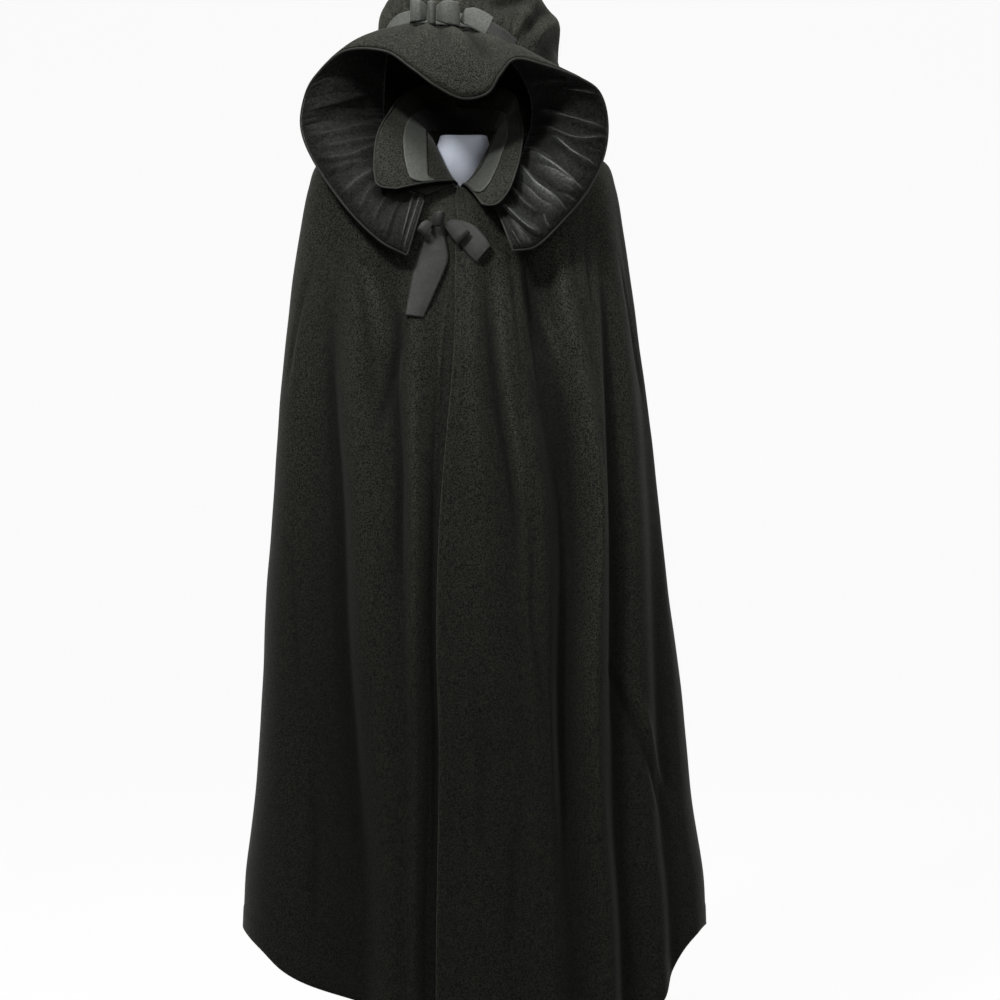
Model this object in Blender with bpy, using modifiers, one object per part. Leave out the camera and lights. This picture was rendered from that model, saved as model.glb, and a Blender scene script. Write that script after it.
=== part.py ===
"""A hooded wool cloak with a velvet-faced ruffle, on a limbless dress form.

Metres, +Z up. The front faces -Y and the wearer's left is +X. The origin is
the middle of the underside of the form's base. Heights in the tables are
measured from the middle of the neck seam, NECK_HEIGHT above the floor.
Angles round the body are in degrees: 0 at the middle of the front, 90 at the
wearer's left side, -90 at the wearer's right side, 180 at the back.
"""

import math
from collections import namedtuple

import bmesh
import bpy
import numpy as np
from mathutils import Vector

# ---------------------------------------------------------------- sizes
NECK_HEIGHT = 1.380
WOOL = 0.0020
VELVET = 0.0018
RIBBON = 0.0010
PATCH_GAP = 0.0008
PIPING_GAP = 0.0011
SEAM_GAP = 0.0008
LAP_GAP = 0.0017
LAP_RISE = 0.0035
FRONT_COLUMN_DEGREES = 3.6
BACK_COLUMN_DEGREES = 4.6
RUFFLE_PUCKERS = 36
PUCKER_HEIGHT = 0.0060
RUFFLE_PIPING_RADIUS = 0.0019
COLLAR_PIPING_RADIUS = 0.0014
HOOD_GATHERS = 26
POLE_RADIUS = 0.016
BASE_RADIUS = 0.180
BASE_HEIGHT = 0.020

Ring = namedtuple(
    "Ring",
    "name half_width front back middle side_rise front_rise back_rise steepness",
)

# The cloak's rings, from the neck seam down. Steepness says how sharply a ring
# climbs from its lowest point at the front towards the side.
CLOAK_RINGS = [
    Ring("neck seam", 0.050, 0.062, 0.056, -0.0025, 0.028, -0.047, 0.034, 2.8),
    Ring("collarbone", 0.108, 0.086, 0.086, -0.004, 0.026, -0.070, 0.018, 3.5),
    Ring("mid shoulder", 0.166, 0.098, 0.101, -0.004, 0.016, -0.092, -0.010, 2.8),
    Ring("shoulder tip", 0.210, 0.106, 0.109, -0.004, -0.003, -0.112, -0.045, 2.4),
    Ring("under tip", 0.2205, 0.113, 0.114, -0.0045, -0.034, -0.138, -0.085, 2.0),
    Ring("chest", 0.2335, 0.121, 0.122, -0.0048, -0.105, -0.180, -0.150, 2.0),
    Ring("bust", 0.2470, 0.131, 0.131, -0.0042, -0.200, -0.255, -0.240, 2.0),
    Ring("elbow", 0.2645, 0.141, 0.141, -0.0025, -0.341, -0.392, -0.382, 2.0),
    Ring("waist", 0.2768, 0.150, 0.150, 0.0012, -0.486, -0.539, -0.529, 2.0),
    Ring("hip", 0.2900, 0.159, 0.158, 0.0040, -0.631, -0.687, -0.675, 2.0),
    Ring("thigh", 0.3015, 0.167, 0.165, 0.0105, -0.776, -0.838, -0.824, 2.0),
    Ring("knee", 0.3140, 0.175, 0.172, 0.0122, -0.921, -0.993, -0.974, 2.0),
    Ring("calf", 0.3275, 0.181, 0.177, 0.0135, -1.020, -1.102, -1.081, 2.0),
    Ring("hem", 0.3310, 0.185, 0.180, 0.0140, -1.098, -1.190, -1.160, 2.0),
]

# Height of the hem round the cloak: it dips in front and behind, and steps up
# to the short sides.
Hem = namedtuple("Hem", "angle rise")
HEM = [
    Hem(-270, -1.101),
    Hem(-225, -1.138),
    Hem(-180, -1.160),
    Hem(-130, -1.135),
    Hem(-95, -1.101),
    Hem(-69, -1.104),
    Hem(-61, -1.116),
    Hem(-53, -1.137),
    Hem(-30, -1.168),
    Hem(-9, -1.186),
    Hem(30, -1.195),
    Hem(49, -1.186),
    Hem(56, -1.152),
    Hem(64, -1.112),
    Hem(90, -1.099),
    Hem(95, -1.101),
]

# One row for each crest (+) or trough (-) of the hanging cloth: its angle and
# its depth at the bust, waist, thigh and calf.
Fold = namedtuple(
    "Fold",
    "name bust waist thigh calf bust_depth waist_depth thigh_depth calf_depth",
)
RIGHT_SIDE = Fold("right side", -93, -93, -93, -93, 0.000, 0.000, 0.000, 0.000)
LEFT_SIDE = Fold("left side", 93, 93, 93, 93, 0.000, 0.000, 0.000, 0.000)
RIGHT_FRONT_FOLDS = [
    RIGHT_SIDE,
    Fold("side crest", -68, -66, -65, -64, 0.002, 0.004, 0.005, 0.006),
    Fold("wide trough", -48, -41, -35, -28, -0.006, -0.012, -0.014, -0.012),
    Fold("broad crest", -36, -29, -23, -19.5, 0.003, 0.006, 0.007, 0.006),
    Fold("short trough", -24, -19, -17.4, -16.4, -0.007, -0.006, -0.003, -0.001),
    Fold("lap crest", -14.5, -14, -14.2, -14, 0.004, 0.005, 0.005, 0.004),
    Fold("lap trough", -5.5, -9.3, -10.6, -11.2, -0.006, -0.009, -0.011, -0.012),
    Fold("under edge", 2.6, 1.6, 0.3, -0.8, -0.001, -0.001, -0.001, -0.001),
]
LEFT_FRONT_FOLDS = [
    Fold("front edge", -1.6, -6.9, -8.5, -9.3, 0.001, 0.001, 0.001, 0.001),
    Fold("flat of the front", 3.5, 5, 4, 4, 0.002, 0.002, 0.002, 0.002),
    Fold("sharp trough", 8.9, 13.6, 14.5, 13.5, -0.007, -0.006, -0.001, 0.001),
    Fold("narrow crest", 15, 17.4, 17, 16, 0.003, 0.006, 0.005, 0.003),
    Fold("inner crest", 19, 22.5, 21, 19.5, 0.002, 0.004, 0.003, 0.003),
    Fold("deep trough", 24, 31, 25.4, 25.6, -0.012, -0.020, -0.018, -0.012),
    Fold("main crest", 40, 41, 34, 34, 0.010, 0.016, 0.017, 0.014),
    Fold("dark trough", 55, 50, 42.5, 40, -0.004, -0.010, -0.012, -0.012),
    Fold("outer crest", 65, 60, 53, 51, 0.002, 0.005, 0.006, 0.008),
    Fold("shallow trough", 77, 73, 62, 58, -0.002, -0.003, -0.007, -0.006),
    Fold("edge crest", 85, 84, 72, 70, 0.001, 0.002, 0.004, 0.006),
    LEFT_SIDE,
]
BACK_FOLDS = [
    Fold("right side", -267, -267, -267, -267, 0.000, 0.000, 0.000, 0.000),
    Fold("left side trough", -251, -252, -253, -254, -0.004, -0.008, -0.009, -0.010),
    Fold("left blade crest", -235, -236, -238, -239, 0.005, 0.011, 0.013, 0.013),
    Fold("left blade trough", -222, -222, -221, -222, -0.008, -0.014, -0.014, -0.013),
    Fold("left middle crest", -208, -205, -203, -202, 0.005, 0.010, 0.013, 0.013),
    Fold("centre trough", -192, -190, -188, -187, -0.009, -0.015, -0.017, -0.016),
    Fold("centre crest", -178, -175, -174, -172, 0.006, 0.010, 0.010, 0.010),
    Fold("right middle trough", -161, -160, -158, -155, -0.007, -0.013, -0.014, -0.013),
    Fold("right blade crest", -145, -143, -141, -140, 0.005, 0.012, 0.014, 0.014),
    Fold("right blade trough", -129, -127, -125, -124, -0.006, -0.010, -0.011, -0.011),
    Fold("right side crest", -113, -111, -110, -109, 0.003, 0.005, 0.006, 0.006),
    RIGHT_SIDE,
]
# The upper front is lifted over the lap, and comes back to the ring between
# these angles.
LAP_START_ANGLE = 5.0
LAP_END_ANGLE = 16.0

# The ruffle, section by section from the wearer's right end of the throat, over
# the head and down to the left end. It runs from its seam to its piped edge.
Section = namedtuple(
    "Section",
    "name seam_x seam_y seam_rise edge_x edge_y edge_rise belly_forward belly_up",
)
RUFFLE = [
    Section("right end", -0.056, -0.101, -0.064, -0.078, -0.136, -0.147, 0.008, 0.0),
    Section("right throat", -0.086, -0.094, -0.050, -0.114, -0.132, -0.127, 0.010, 0.0),
    Section("right collarbone", -0.103, -0.076, -0.019, -0.158, -0.118, -0.083, 0.014, 0.0),
    Section("right jaw", -0.114, -0.056, 0.014, -0.205, -0.088, -0.016, 0.022, 0.0),
    Section("right cheek", -0.117, -0.034, 0.053, -0.228, -0.066, 0.037, 0.026, 0.0),
    Section("right temple", -0.118, -0.020, 0.097, -0.224, -0.070, 0.079, 0.026, 0.002),
    Section("right brow", -0.116, -0.015, 0.134, -0.205, -0.085, 0.110, 0.020, 0.008),
    Section("right rise", -0.111, -0.018, 0.165, -0.165, -0.105, 0.140, 0.014, 0.012),
    Section("right crown", -0.093, -0.028, 0.184, -0.108, -0.122, 0.136, 0.012, 0.014),
    Section("crown a", -0.066, -0.040, 0.187, -0.070, -0.138, 0.109, 0.016, 0.018),
    Section("crown b", -0.039, -0.048, 0.183, -0.038, -0.145, 0.084, 0.018, 0.022),
    Section("crown c", -0.009, -0.050, 0.180, -0.001, -0.145, 0.066, 0.020, 0.025),
    Section("crown d", 0.019, -0.048, 0.175, 0.033, -0.145, 0.073, 0.018, 0.022),
    Section("crown e", 0.044, -0.042, 0.165, 0.051, -0.150, 0.098, 0.014, 0.018),
    Section("left crown", 0.062, -0.036, 0.151, 0.072, -0.150, 0.118, 0.012, 0.014),
    Section("left rise", 0.079, -0.030, 0.131, 0.112, -0.140, 0.112, 0.014, 0.012),
    Section("left brow", 0.092, -0.027, 0.105, 0.157, -0.130, 0.097, 0.018, 0.006),
    Section("left temple", 0.098, -0.030, 0.081, 0.187, -0.112, 0.079, 0.024, 0.002),
    Section("left cheek", 0.097, -0.036, 0.051, 0.199, -0.098, 0.042, 0.026, 0.0),
    Section("left jaw", 0.089, -0.052, 0.021, 0.194, -0.100, -0.005, 0.024, 0.0),
    Section("left collarbone", 0.079, -0.074, -0.010, 0.171, -0.115, -0.056, 0.018, 0.0),
    Section("left chest", 0.068, -0.090, -0.035, 0.133, -0.130, -0.103, 0.012, 0.0),
    Section("left throat", 0.058, -0.099, -0.055, 0.099, -0.140, -0.136, 0.010, 0.0),
    Section("left end", 0.045, -0.106, -0.073, 0.070, -0.142, -0.142, 0.008, 0.0),
]

# The hood, a loft from the ruffle's seam back to the neck seam. Turn is the
# place on the neck seam, in degrees from the front by the wearer's right side.
# The pulls shape each strip like the handles of a curve.
Strip = namedtuple(
    "Strip",
    "station turn face_x face_y face_rise neck_x neck_y neck_rise",
)
HOOD = [
    Strip(0, 15, 0.010, 0.010, 0.008, -0.008, -0.016, -0.007),
    Strip(1, 34, 0.018, 0.006, 0.018, -0.018, -0.017, -0.009),
    Strip(2, 55, 0.010, 0.012, 0.024, -0.026, -0.010, -0.002),
    Strip(3, 76, -0.012, 0.035, 0.030, -0.048, 0.002, 0.012),
    Strip(4, 96, -0.023, 0.060, 0.020, -0.068, 0.049, 0.036),
    Strip(5, 114, -0.027, 0.074, 0.034, -0.086, 0.070, 0.060),
    Strip(6, 130, -0.024, 0.070, 0.090, -0.088, 0.076, 0.084),
    Strip(7, 142, -0.018, 0.058, 0.165, -0.078, 0.082, 0.106),
    Strip(8, 152, -0.020, 0.050, 0.230, -0.064, 0.092, 0.112),
    Strip(10, 166, -0.010, 0.050, 0.290, -0.030, 0.115, 0.110),
    Strip(12, 182, 0.004, 0.056, 0.300, 0.006, 0.122, 0.108),
    Strip(13, 193, 0.034, 0.062, 0.290, 0.044, 0.116, 0.108),
    Strip(14, 203, 0.076, 0.068, 0.255, 0.082, 0.106, 0.112),
    Strip(15, 214, 0.094, 0.076, 0.200, 0.106, 0.094, 0.106),
    Strip(16, 227, 0.086, 0.084, 0.120, 0.110, 0.080, 0.084),
    Strip(17, 241, 0.056, 0.086, 0.058, 0.094, 0.066, 0.060),
    Strip(18, 258, 0.036, 0.070, 0.026, 0.078, 0.046, 0.038),
    Strip(19, 276, 0.017, 0.039, 0.028, 0.044, 0.005, 0.018),
    Strip(20, 298, -0.003, 0.018, 0.023, 0.022, -0.007, 0.004),
    Strip(21, 318, -0.013, 0.008, 0.018, 0.014, -0.012, -0.010),
    Strip(22, 336, -0.014, 0.010, 0.014, 0.014, -0.014, -0.006),
    Strip(23, 350, -0.013, 0.012, 0.010, 0.012, -0.016, -0.004),
]

# The collar, section by section by its turn on the neck seam: a place on its
# piped outer edge, how far the cloth between is pushed forward, and how far out
# the ribbon stripe starts.
Fall = namedtuple("Fall", "name turn edge_x edge_y edge_rise push stripe")
COLLAR = [
    Fall("right end", 11, -0.116, -0.132, -0.062, 0.036, 0.58),
    Fall("right front", 28, -0.122, -0.122, -0.030, 0.036, 0.51),
    Fall("right jaw", 48, -0.121, -0.100, 0.016, 0.026, 0.43),
    Fall("right side", 78, -0.104, -0.054, 0.066, 0.008, 0.36),
    Fall("right nape", 122, -0.078, 0.020, 0.112, 0.000, 0.36),
    Fall("back", 180, -0.004, 0.068, 0.130, -0.010, 0.36),
    Fall("left nape", 238, 0.066, 0.018, 0.108, 0.000, 0.36),
    Fall("left side", 280, 0.078, -0.042, 0.068, 0.010, 0.38),
    Fall("left jaw", 308, 0.081, -0.088, 0.022, 0.022, 0.44),
    Fall("left front", 334, 0.072, -0.122, -0.030, 0.028, 0.44),
    Fall("left turn", 352, 0.058, -0.140, -0.066, 0.030, 0.38),
    Fall("left end", 365, 0.036, -0.142, -0.090, 0.030, 0.36),
]
COLLAR_INSET = 2 * WOOL + SEAM_GAP
COLLAR_STAND = 0.023
CORNER_CUT = 0.15
CORNER_DEGREES = 8.0
STRIPE_END = 0.72

# The ribbons of the two bows. Each row is a place on the middle of a ribbon,
# with its width there and the lean of the width away from level.
Stretch = namedtuple("Stretch", "x y rise width lean")
THROAT_BOW = {
    "throat_bow_long_tail": [
        Stretch(-0.0375, -0.1070, -0.106, 0.014, -4),
        Stretch(-0.0405, -0.1140, -0.130, 0.034, 0),
        Stretch(-0.0430, -0.1182, -0.152, 0.044, -2),
        Stretch(-0.0500, -0.1225, -0.176, 0.041, -4),
        Stretch(-0.0590, -0.1270, -0.206, 0.034, 0),
        Stretch(-0.0675, -0.1310, -0.233, 0.025, -8),
    ],
    "throat_bow_short_tail": [
        Stretch(-0.0220, -0.1065, -0.100, 0.012, 46),
        Stretch(-0.0100, -0.1105, -0.106, 0.022, 46),
        Stretch(0.0040, -0.1185, -0.118, 0.032, 46),
        Stretch(0.0180, -0.1222, -0.134, 0.034, 46),
        Stretch(0.0275, -0.1228, -0.146, 0.030, 50),
    ],
    "throat_bow_left_loop": [
        Stretch(-0.0228, -0.1125, -0.101, 0.010, 43),
        Stretch(-0.0140, -0.1230, -0.108, 0.020, 43),
        Stretch(-0.0040, -0.1285, -0.119, 0.024, 43),
        Stretch(0.0010, -0.1265, -0.125, 0.024, 43),
        Stretch(-0.0030, -0.1235, -0.121, 0.022, 43),
        Stretch(-0.0130, -0.1185, -0.110, 0.016, 43),
    ],
    "throat_bow_right_loop": [
        Stretch(-0.0469, -0.1185, -0.101, 0.010, -36),
        Stretch(-0.0515, -0.1250, -0.107, 0.014, -36),
        Stretch(-0.0555, -0.1260, -0.114, 0.016, -36),
        Stretch(-0.0580, -0.1225, -0.118, 0.016, -36),
        Stretch(-0.0550, -0.1190, -0.114, 0.014, -36),
        Stretch(-0.0505, -0.1180, -0.105, 0.012, -36),
    ],
    "throat_bow_knot": [
        Stretch(-0.0440, -0.1050, -0.097, 0.018, 78),
        Stretch(-0.0425, -0.1150, -0.097, 0.019, 78),
        Stretch(-0.0350, -0.1210, -0.096, 0.020, 82),
        Stretch(-0.0280, -0.1180, -0.095, 0.019, 84),
        Stretch(-0.0265, -0.1070, -0.095, 0.018, 84),
    ],
}
HOOD_BOW = {
    "hood_bow_right_loop": [
        Stretch(-0.0520, -0.0830, 0.198, 0.020, 88),
        Stretch(-0.0620, -0.0910, 0.199, 0.030, 88),
        Stretch(-0.0720, -0.0880, 0.200, 0.032, 88),
        Stretch(-0.0750, -0.0820, 0.200, 0.032, 88),
        Stretch(-0.0710, -0.0770, 0.200, 0.030, 88),
        Stretch(-0.0540, -0.0775, 0.198, 0.020, 88),
    ],
    "hood_bow_left_loop": [
        Stretch(-0.0385, -0.0850, 0.197, 0.020, 92),
        Stretch(-0.0270, -0.0950, 0.196, 0.032, 92),
        Stretch(-0.0120, -0.0920, 0.195, 0.035, 94),
        Stretch(-0.0060, -0.0850, 0.194, 0.035, 94),
        Stretch(-0.0110, -0.0800, 0.194, 0.032, 94),
        Stretch(-0.0370, -0.0795, 0.197, 0.020, 92),
    ],
    "hood_bow_tail": [
        Stretch(-0.0020, -0.0750, 0.1972, 0.020, 64),
        Stretch(0.0080, -0.0800, 0.1942, 0.028, 58),
        Stretch(0.0220, -0.0870, 0.1862, 0.029, 56),
        Stretch(0.0360, -0.0930, 0.1762, 0.028, 66),
    ],
    "hood_bow_knot": [
        Stretch(-0.0505, -0.0740, 0.1975, 0.031, 90),
        Stretch(-0.0500, -0.0860, 0.1975, 0.032, 90),
        Stretch(-0.0450, -0.0900, 0.1970, 0.033, 90),
        Stretch(-0.0405, -0.0860, 0.1965, 0.032, 90),
        Stretch(-0.0400, -0.0740, 0.1965, 0.031, 90),
    ],
}
BAND_START = 7.2
BAND_END = 14.2

# The dress form below the shoulders. Above them it follows the cloak's rings.
FORM_NECK_TOP = Ring("neck top", 0.0345, 0.046, 0.041, -0.0020, 0.040, 0.034, 0.034, 2.0)
FORM_NECK_BASE = Ring("neck base", 0.0400, 0.052, 0.047, -0.0025, 0.020, -0.052, 0.028, 2.8)
FORM_RINGS = [
    Ring("armhole", 0.196, 0.100, 0.103, -0.002, -0.060, -0.135, -0.090, 2.0),
    Ring("chest", 0.168, 0.107, 0.101, 0.000, -0.130, -0.170, -0.140, 2.0),
    Ring("bust", 0.156, 0.116, 0.098, 0.000, -0.210, -0.225, -0.215, 2.0),
    Ring("under bust", 0.138, 0.100, 0.092, 0.000, -0.300, -0.300, -0.300, 2.0),
    Ring("waist", 0.118, 0.088, 0.082, 0.000, -0.405, -0.405, -0.405, 2.0),
    Ring("high hip", 0.146, 0.100, 0.104, 0.000, -0.500, -0.500, -0.500, 2.0),
    Ring("hip", 0.166, 0.108, 0.118, 0.000, -0.600, -0.600, -0.600, 2.0),
    Ring("foot of the torso", 0.160, 0.102, 0.112, 0.000, -0.680, -0.680, -0.680, 2.0),
]
FORM_COLUMNS = 60
SHOULDER_GAPS = {"collarbone": 0.0018, "mid shoulder": 0.0014, "shoulder tip": 0.0042}

# sRGB colour, roughness and metallic value of each material.
MATERIALS = {
    "wool": ((0.105, 0.108, 0.098), 0.92, 0.0),
    "velvet": ((0.070, 0.076, 0.072), 0.70, 0.0),
    "ribbon": ((0.175, 0.180, 0.165), 0.60, 0.0),
    "piping": ((0.130, 0.135, 0.125), 0.50, 0.0),
    "form_cloth": ((0.620, 0.640, 0.680), 0.80, 0.0),
    "stand_metal": ((0.300, 0.300, 0.300), 0.40, 0.9),
}


# ---------------------------------------------------------------- helpers
class Track:
    """A smooth curve through the rows of a table, read by its key."""

    def __init__(self, keys, rows):
        self.keys = np.array(keys, dtype=float)
        self.rows = np.array(rows, dtype=float)
        self.slopes = np.gradient(self.rows, self.keys, axis=0)

    def at(self, key):
        place = int(np.searchsorted(self.keys, key)) - 1
        place = min(max(place, 0), len(self.keys) - 2)
        span = self.keys[place + 1] - self.keys[place]
        s = min(max((key - self.keys[place]) / span, 0.0), 1.0)
        start = (1 + 2 * s) * (1 - s) ** 2 * self.rows[place]
        leave = s * (1 - s) ** 2 * span * self.slopes[place]
        end = s * s * (3 - 2 * s) * self.rows[place + 1]
        arrive = s * s * (s - 1) * span * self.slopes[place + 1]
        return start + leave + end + arrive


def soft_step(s):
    """0 to 1 with level ends."""
    s = min(max(s, 0.0), 1.0)
    return s * s * (3 - 2 * s)


def raised(x, y, rise):
    """A point whose height is given from the neck."""
    return Vector((x, y, NECK_HEIGHT + rise))


def ring_point(ring, angle):
    turn = math.radians(angle)
    depth = ring[2] if math.cos(turn) > 0 else ring[3]
    x = ring[4] + ring[1] * math.sin(turn)
    y = -depth * math.cos(turn)
    dip = ring[6] if math.cos(turn) > 0 else ring[7]
    rise = ring[5] + (dip - ring[5]) * abs(math.cos(turn)) ** ring[8]
    return raised(x, y, rise)


def ring_numbers(ring):
    return [0.0] + list(ring[1:])


def make_material(name):
    colour, roughness, metallic = MATERIALS[name]
    material = bpy.data.materials.new(name)
    material.use_nodes = True
    shader = material.node_tree.nodes["Principled BSDF"]
    linear = [c / 12.92 if c <= 0.04045 else ((c + 0.055) / 1.055) ** 2.4 for c in colour]
    shader.inputs["Base Color"].default_value = (*linear, 1.0)
    shader.inputs["Roughness"].default_value = roughness
    shader.inputs["Metallic"].default_value = metallic
    return material


def add_part(name, mesh_or_curve, material):
    part = bpy.data.objects.new(name, mesh_or_curve)
    part.data.materials.append(make_material(material))
    collection.objects.link(part)
    return part


def sheet_mesh(name, rows, closed=False):
    """An open sheet of quads through rows of points."""
    width = len(rows[0])
    points = [point for row in rows for point in row]
    faces = []
    for r in range(len(rows) - 1):
        for c in range(width if closed else width - 1):
            after = (c + 1) % width
            here = r * width
            below = here + width
            faces.append((here + c, below + c, below + after, here + after))
    mesh = bpy.data.meshes.new(name)
    mesh.from_pydata(points, [], faces)
    mesh.shade_smooth()
    return mesh


def add_wall(part, thickness, side):
    """Give an open sheet its thickness, on the side its faces point to (+1) or away (-1)."""
    wall = part.modifiers.new("wall", "SOLIDIFY")
    wall.thickness = thickness
    wall.offset = side
    return wall


def add_piping(name, points, radius, sides_level):
    """A cord sewn along an edge."""
    curve = bpy.data.curves.new(name, "CURVE")
    curve.dimensions = "3D"
    curve.bevel_depth = radius
    curve.bevel_resolution = sides_level
    curve.use_fill_caps = True
    spline = curve.splines.new("POLY")
    spline.points.add(len(points) - 1)
    for place, point in zip(spline.points, points):
        place.co = (*point, 1.0)
    return add_part(name, curve, "piping")


def rim_cord(surface, places, end_outs, beyond):
    """A cord's line up one end of a sheet, along its outer edge and down the other end."""
    step = 0.02 * (places[1] - places[0])

    def ways(place, out):
        ahead, behind = min(place + step, places[-1]), max(place - step, places[0])
        along = (surface(ahead, out) - surface(behind, out)).normalized()
        across = (surface(place, min(out + 0.02, 1.0)) - surface(place, out - 0.02)).normalized()
        outward = (across - along * across.dot(along)).normalized()
        endward = (along - across * along.dot(across)).normalized()
        return outward, endward

    def end_of_cord(place, side):
        line = [surface(place, out) + ways(place, out)[1] * (side * beyond) for out in end_outs]
        corner = surface(place, 1.0)
        outward, endward = ways(place, 1.0)
        line.append(corner + endward * (side * beyond))
        line.append(corner + (endward * side + outward).normalized() * beyond)
        return line

    first, last = places[0], places[-1]
    edge = [surface(place, 1.0) + ways(place, 1.0)[0] * beyond for place in places]
    return end_of_cord(first, -1) + edge + end_of_cord(last, 1)[::-1]


# ---------------------------------------------------------------- the cloak's cloth
def side_reach():
    """Length of cloth from the neck seam to each ring, down the side."""
    reach = [0.0]
    for above, below in zip(CLOAK_RINGS, CLOAK_RINGS[1:]):
        step = ring_point(below, 90) - ring_point(above, 90)
        reach.append(reach[-1] + step.length)
    return reach


REACH = side_reach()
REACH_OF = {ring.name: reach for ring, reach in zip(CLOAK_RINGS, REACH)}
CLOAK = Track(REACH, [ring_numbers(ring) for ring in CLOAK_RINGS])
HEM_LINE = Track([hem.angle for hem in HEM], [[hem.rise] for hem in HEM])
FOLD_LEVELS = [
    REACH_OF[name]
    for name in ("neck seam", "mid shoulder", "shoulder tip", "bust", "waist", "thigh", "calf", "hem")
]


def fold_track(fold, neck_angle):
    """A fold's angle and depth, read by the length of cloth from the neck."""
    rows = [
        (neck_angle, 0.0),
        (fold.bust, 0.0),
        (fold.bust, 0.25 * fold.bust_depth),
        (fold.bust, fold.bust_depth),
        (fold.waist, fold.waist_depth),
        (fold.thigh, fold.thigh_depth),
        (fold.calf, fold.calf_depth),
        (fold.calf, fold.calf_depth),
    ]
    return Track(FOLD_LEVELS, rows)


def cloth_outward(reach, angle):
    """The direction square to the hanging cloth, out of the cloak."""
    step = 0.001
    low, high = max(reach - step, 0.0), min(reach + step, REACH[-1])
    down = ring_point(CLOAK.at(high), angle) - ring_point(CLOAK.at(low), angle)
    ring = CLOAK.at(reach)
    around = ring_point(ring, angle + 1) - ring_point(ring, angle - 1)
    return down.cross(around).normalized()


def cloth_point(reach, angle, depth):
    """A point on the outside of the cloak, with a fold's depth added."""
    point = ring_point(CLOAK.at(reach), angle)
    near_hem = soft_step((reach - REACH_OF["knee"]) / (REACH[-1] - REACH_OF["knee"]))
    plain_hem = ring_point(CLOAK_RINGS[-1], angle).z
    shift = NECK_HEIGHT + HEM_LINE.at(angle)[0] - plain_hem
    point.z += shift * near_hem
    return point + cloth_outward(reach, angle) * depth


def panel_columns(folds, neck_angles, column_degrees):
    """The columns of a panel: a pair of neighbouring folds and a place between them."""
    tracks = [fold_track(fold, angle) for fold, angle in zip(folds, neck_angles)]
    columns = []
    for left, right in zip(range(len(folds)), range(1, len(folds))):
        gap = abs(folds[right].waist - folds[left].waist)
        steps = max(2, round(gap / column_degrees))
        columns += [(tracks[left], tracks[right], step / steps) for step in range(steps)]
    return columns + [(tracks[-2], tracks[-1], 1.0)]


def column_at(column, reach):
    """A column's angle and fold depth."""
    left, right, place = column
    left_angle, left_depth = left.at(reach)
    right_angle, right_depth = right.at(reach)
    angle = left_angle + (right_angle - left_angle) * place
    depth = left_depth + (right_depth - left_depth) * soft_step(place)
    return angle, depth


def make_panel(name, folds, neck_angles, trims, column_degrees, lap_lift=0.0):
    """A panel of the cloak, held back from each side seam by trims, in metres."""
    columns = panel_columns(folds, neck_angles, column_degrees)
    rows = []
    for reach in REACH:
        around = [column_at(column, reach) for column in columns]
        depth_at_side = CLOAK.at(reach)[3]
        start, end = around[0][0], around[-1][0]
        trim_start = math.degrees(trims[0] / depth_at_side)
        trim_end = math.degrees(trims[1] / depth_at_side)
        row = []
        for angle, depth in around:
            share = (angle - start) / (end - start)
            kept = start + trim_start + share * (end - trim_end - start - trim_start)
            past_lap = (angle - LAP_START_ANGLE) / (LAP_END_ANGLE - LAP_START_ANGLE)
            lift = lap_lift * (1 - soft_step(past_lap))
            row.append(cloth_point(reach, kept, depth + lift))
        rows.append(row)
    panel = add_part(name, sheet_mesh(name, rows), "wool")
    add_wall(panel, WOOL, -1)
    return panel


def spread_angles(first, last, count):
    return [first + (last - first) * n / (count - 1) for n in range(count)]


def make_cloak():
    trim = SEAM_GAP / 2
    right_neck = spread_angles(-93, -9, len(RIGHT_FRONT_FOLDS) - 1) + [-3]
    front, back = FRONT_COLUMN_DEGREES, BACK_COLUMN_DEGREES
    make_panel("cloak_right_front", RIGHT_FRONT_FOLDS, right_neck, (trim, 0), front)
    left_neck = [-8] + spread_angles(-1, 93, len(LEFT_FRONT_FOLDS) - 1)
    lift = WOOL + LAP_GAP
    make_panel("cloak_left_front", LEFT_FRONT_FOLDS, left_neck, (0, trim), front, lift)
    back_neck = spread_angles(-267, -93, len(BACK_FOLDS))
    make_panel("cloak_back", BACK_FOLDS, back_neck, (trim, trim), back)


# ---------------------------------------------------------------- the ruffle
RUFFLE_TRACK = Track(range(len(RUFFLE)), [section[1:] for section in RUFFLE])
RUFFLE_ROWS = 5


def ruffle_middle(station, out):
    """The surface between the ruffle's two cloths, out from seam (0) to edge (1)."""
    values = RUFFLE_TRACK.at(station)
    seam = raised(*values[0:3])
    edge = raised(*values[3:6])
    handle = (seam + edge) / 2 + 2 * Vector((0.0, -values[6], values[7]))
    return seam * (1 - out) ** 2 + handle * (2 * out * (1 - out)) + edge * out**2


def ruffle_facing_way(station, out):
    """The direction out of the ruffle's velvet side."""
    step = 0.02
    low, high = max(out - step, 0.0), min(out + step, 1.0)
    last = len(RUFFLE) - 1
    before, after = max(station - step, 0.0), min(station + step, last)
    across = ruffle_middle(station, high) - ruffle_middle(station, low)
    along = ruffle_middle(after, out) - ruffle_middle(before, out)
    return along.cross(across).normalized()


def edge_stations(count):
    """Stations evenly spaced along the ruffle's edge."""
    last = len(RUFFLE) - 1
    fine = np.linspace(0, last, 400)
    points = [ruffle_middle(station, 0.6) for station in fine]
    steps = [0.0] + [(b - a).length for a, b in zip(points, points[1:])]
    lengths = np.cumsum(steps)
    return np.interp(np.linspace(0, lengths[-1], count), lengths, fine)


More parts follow.
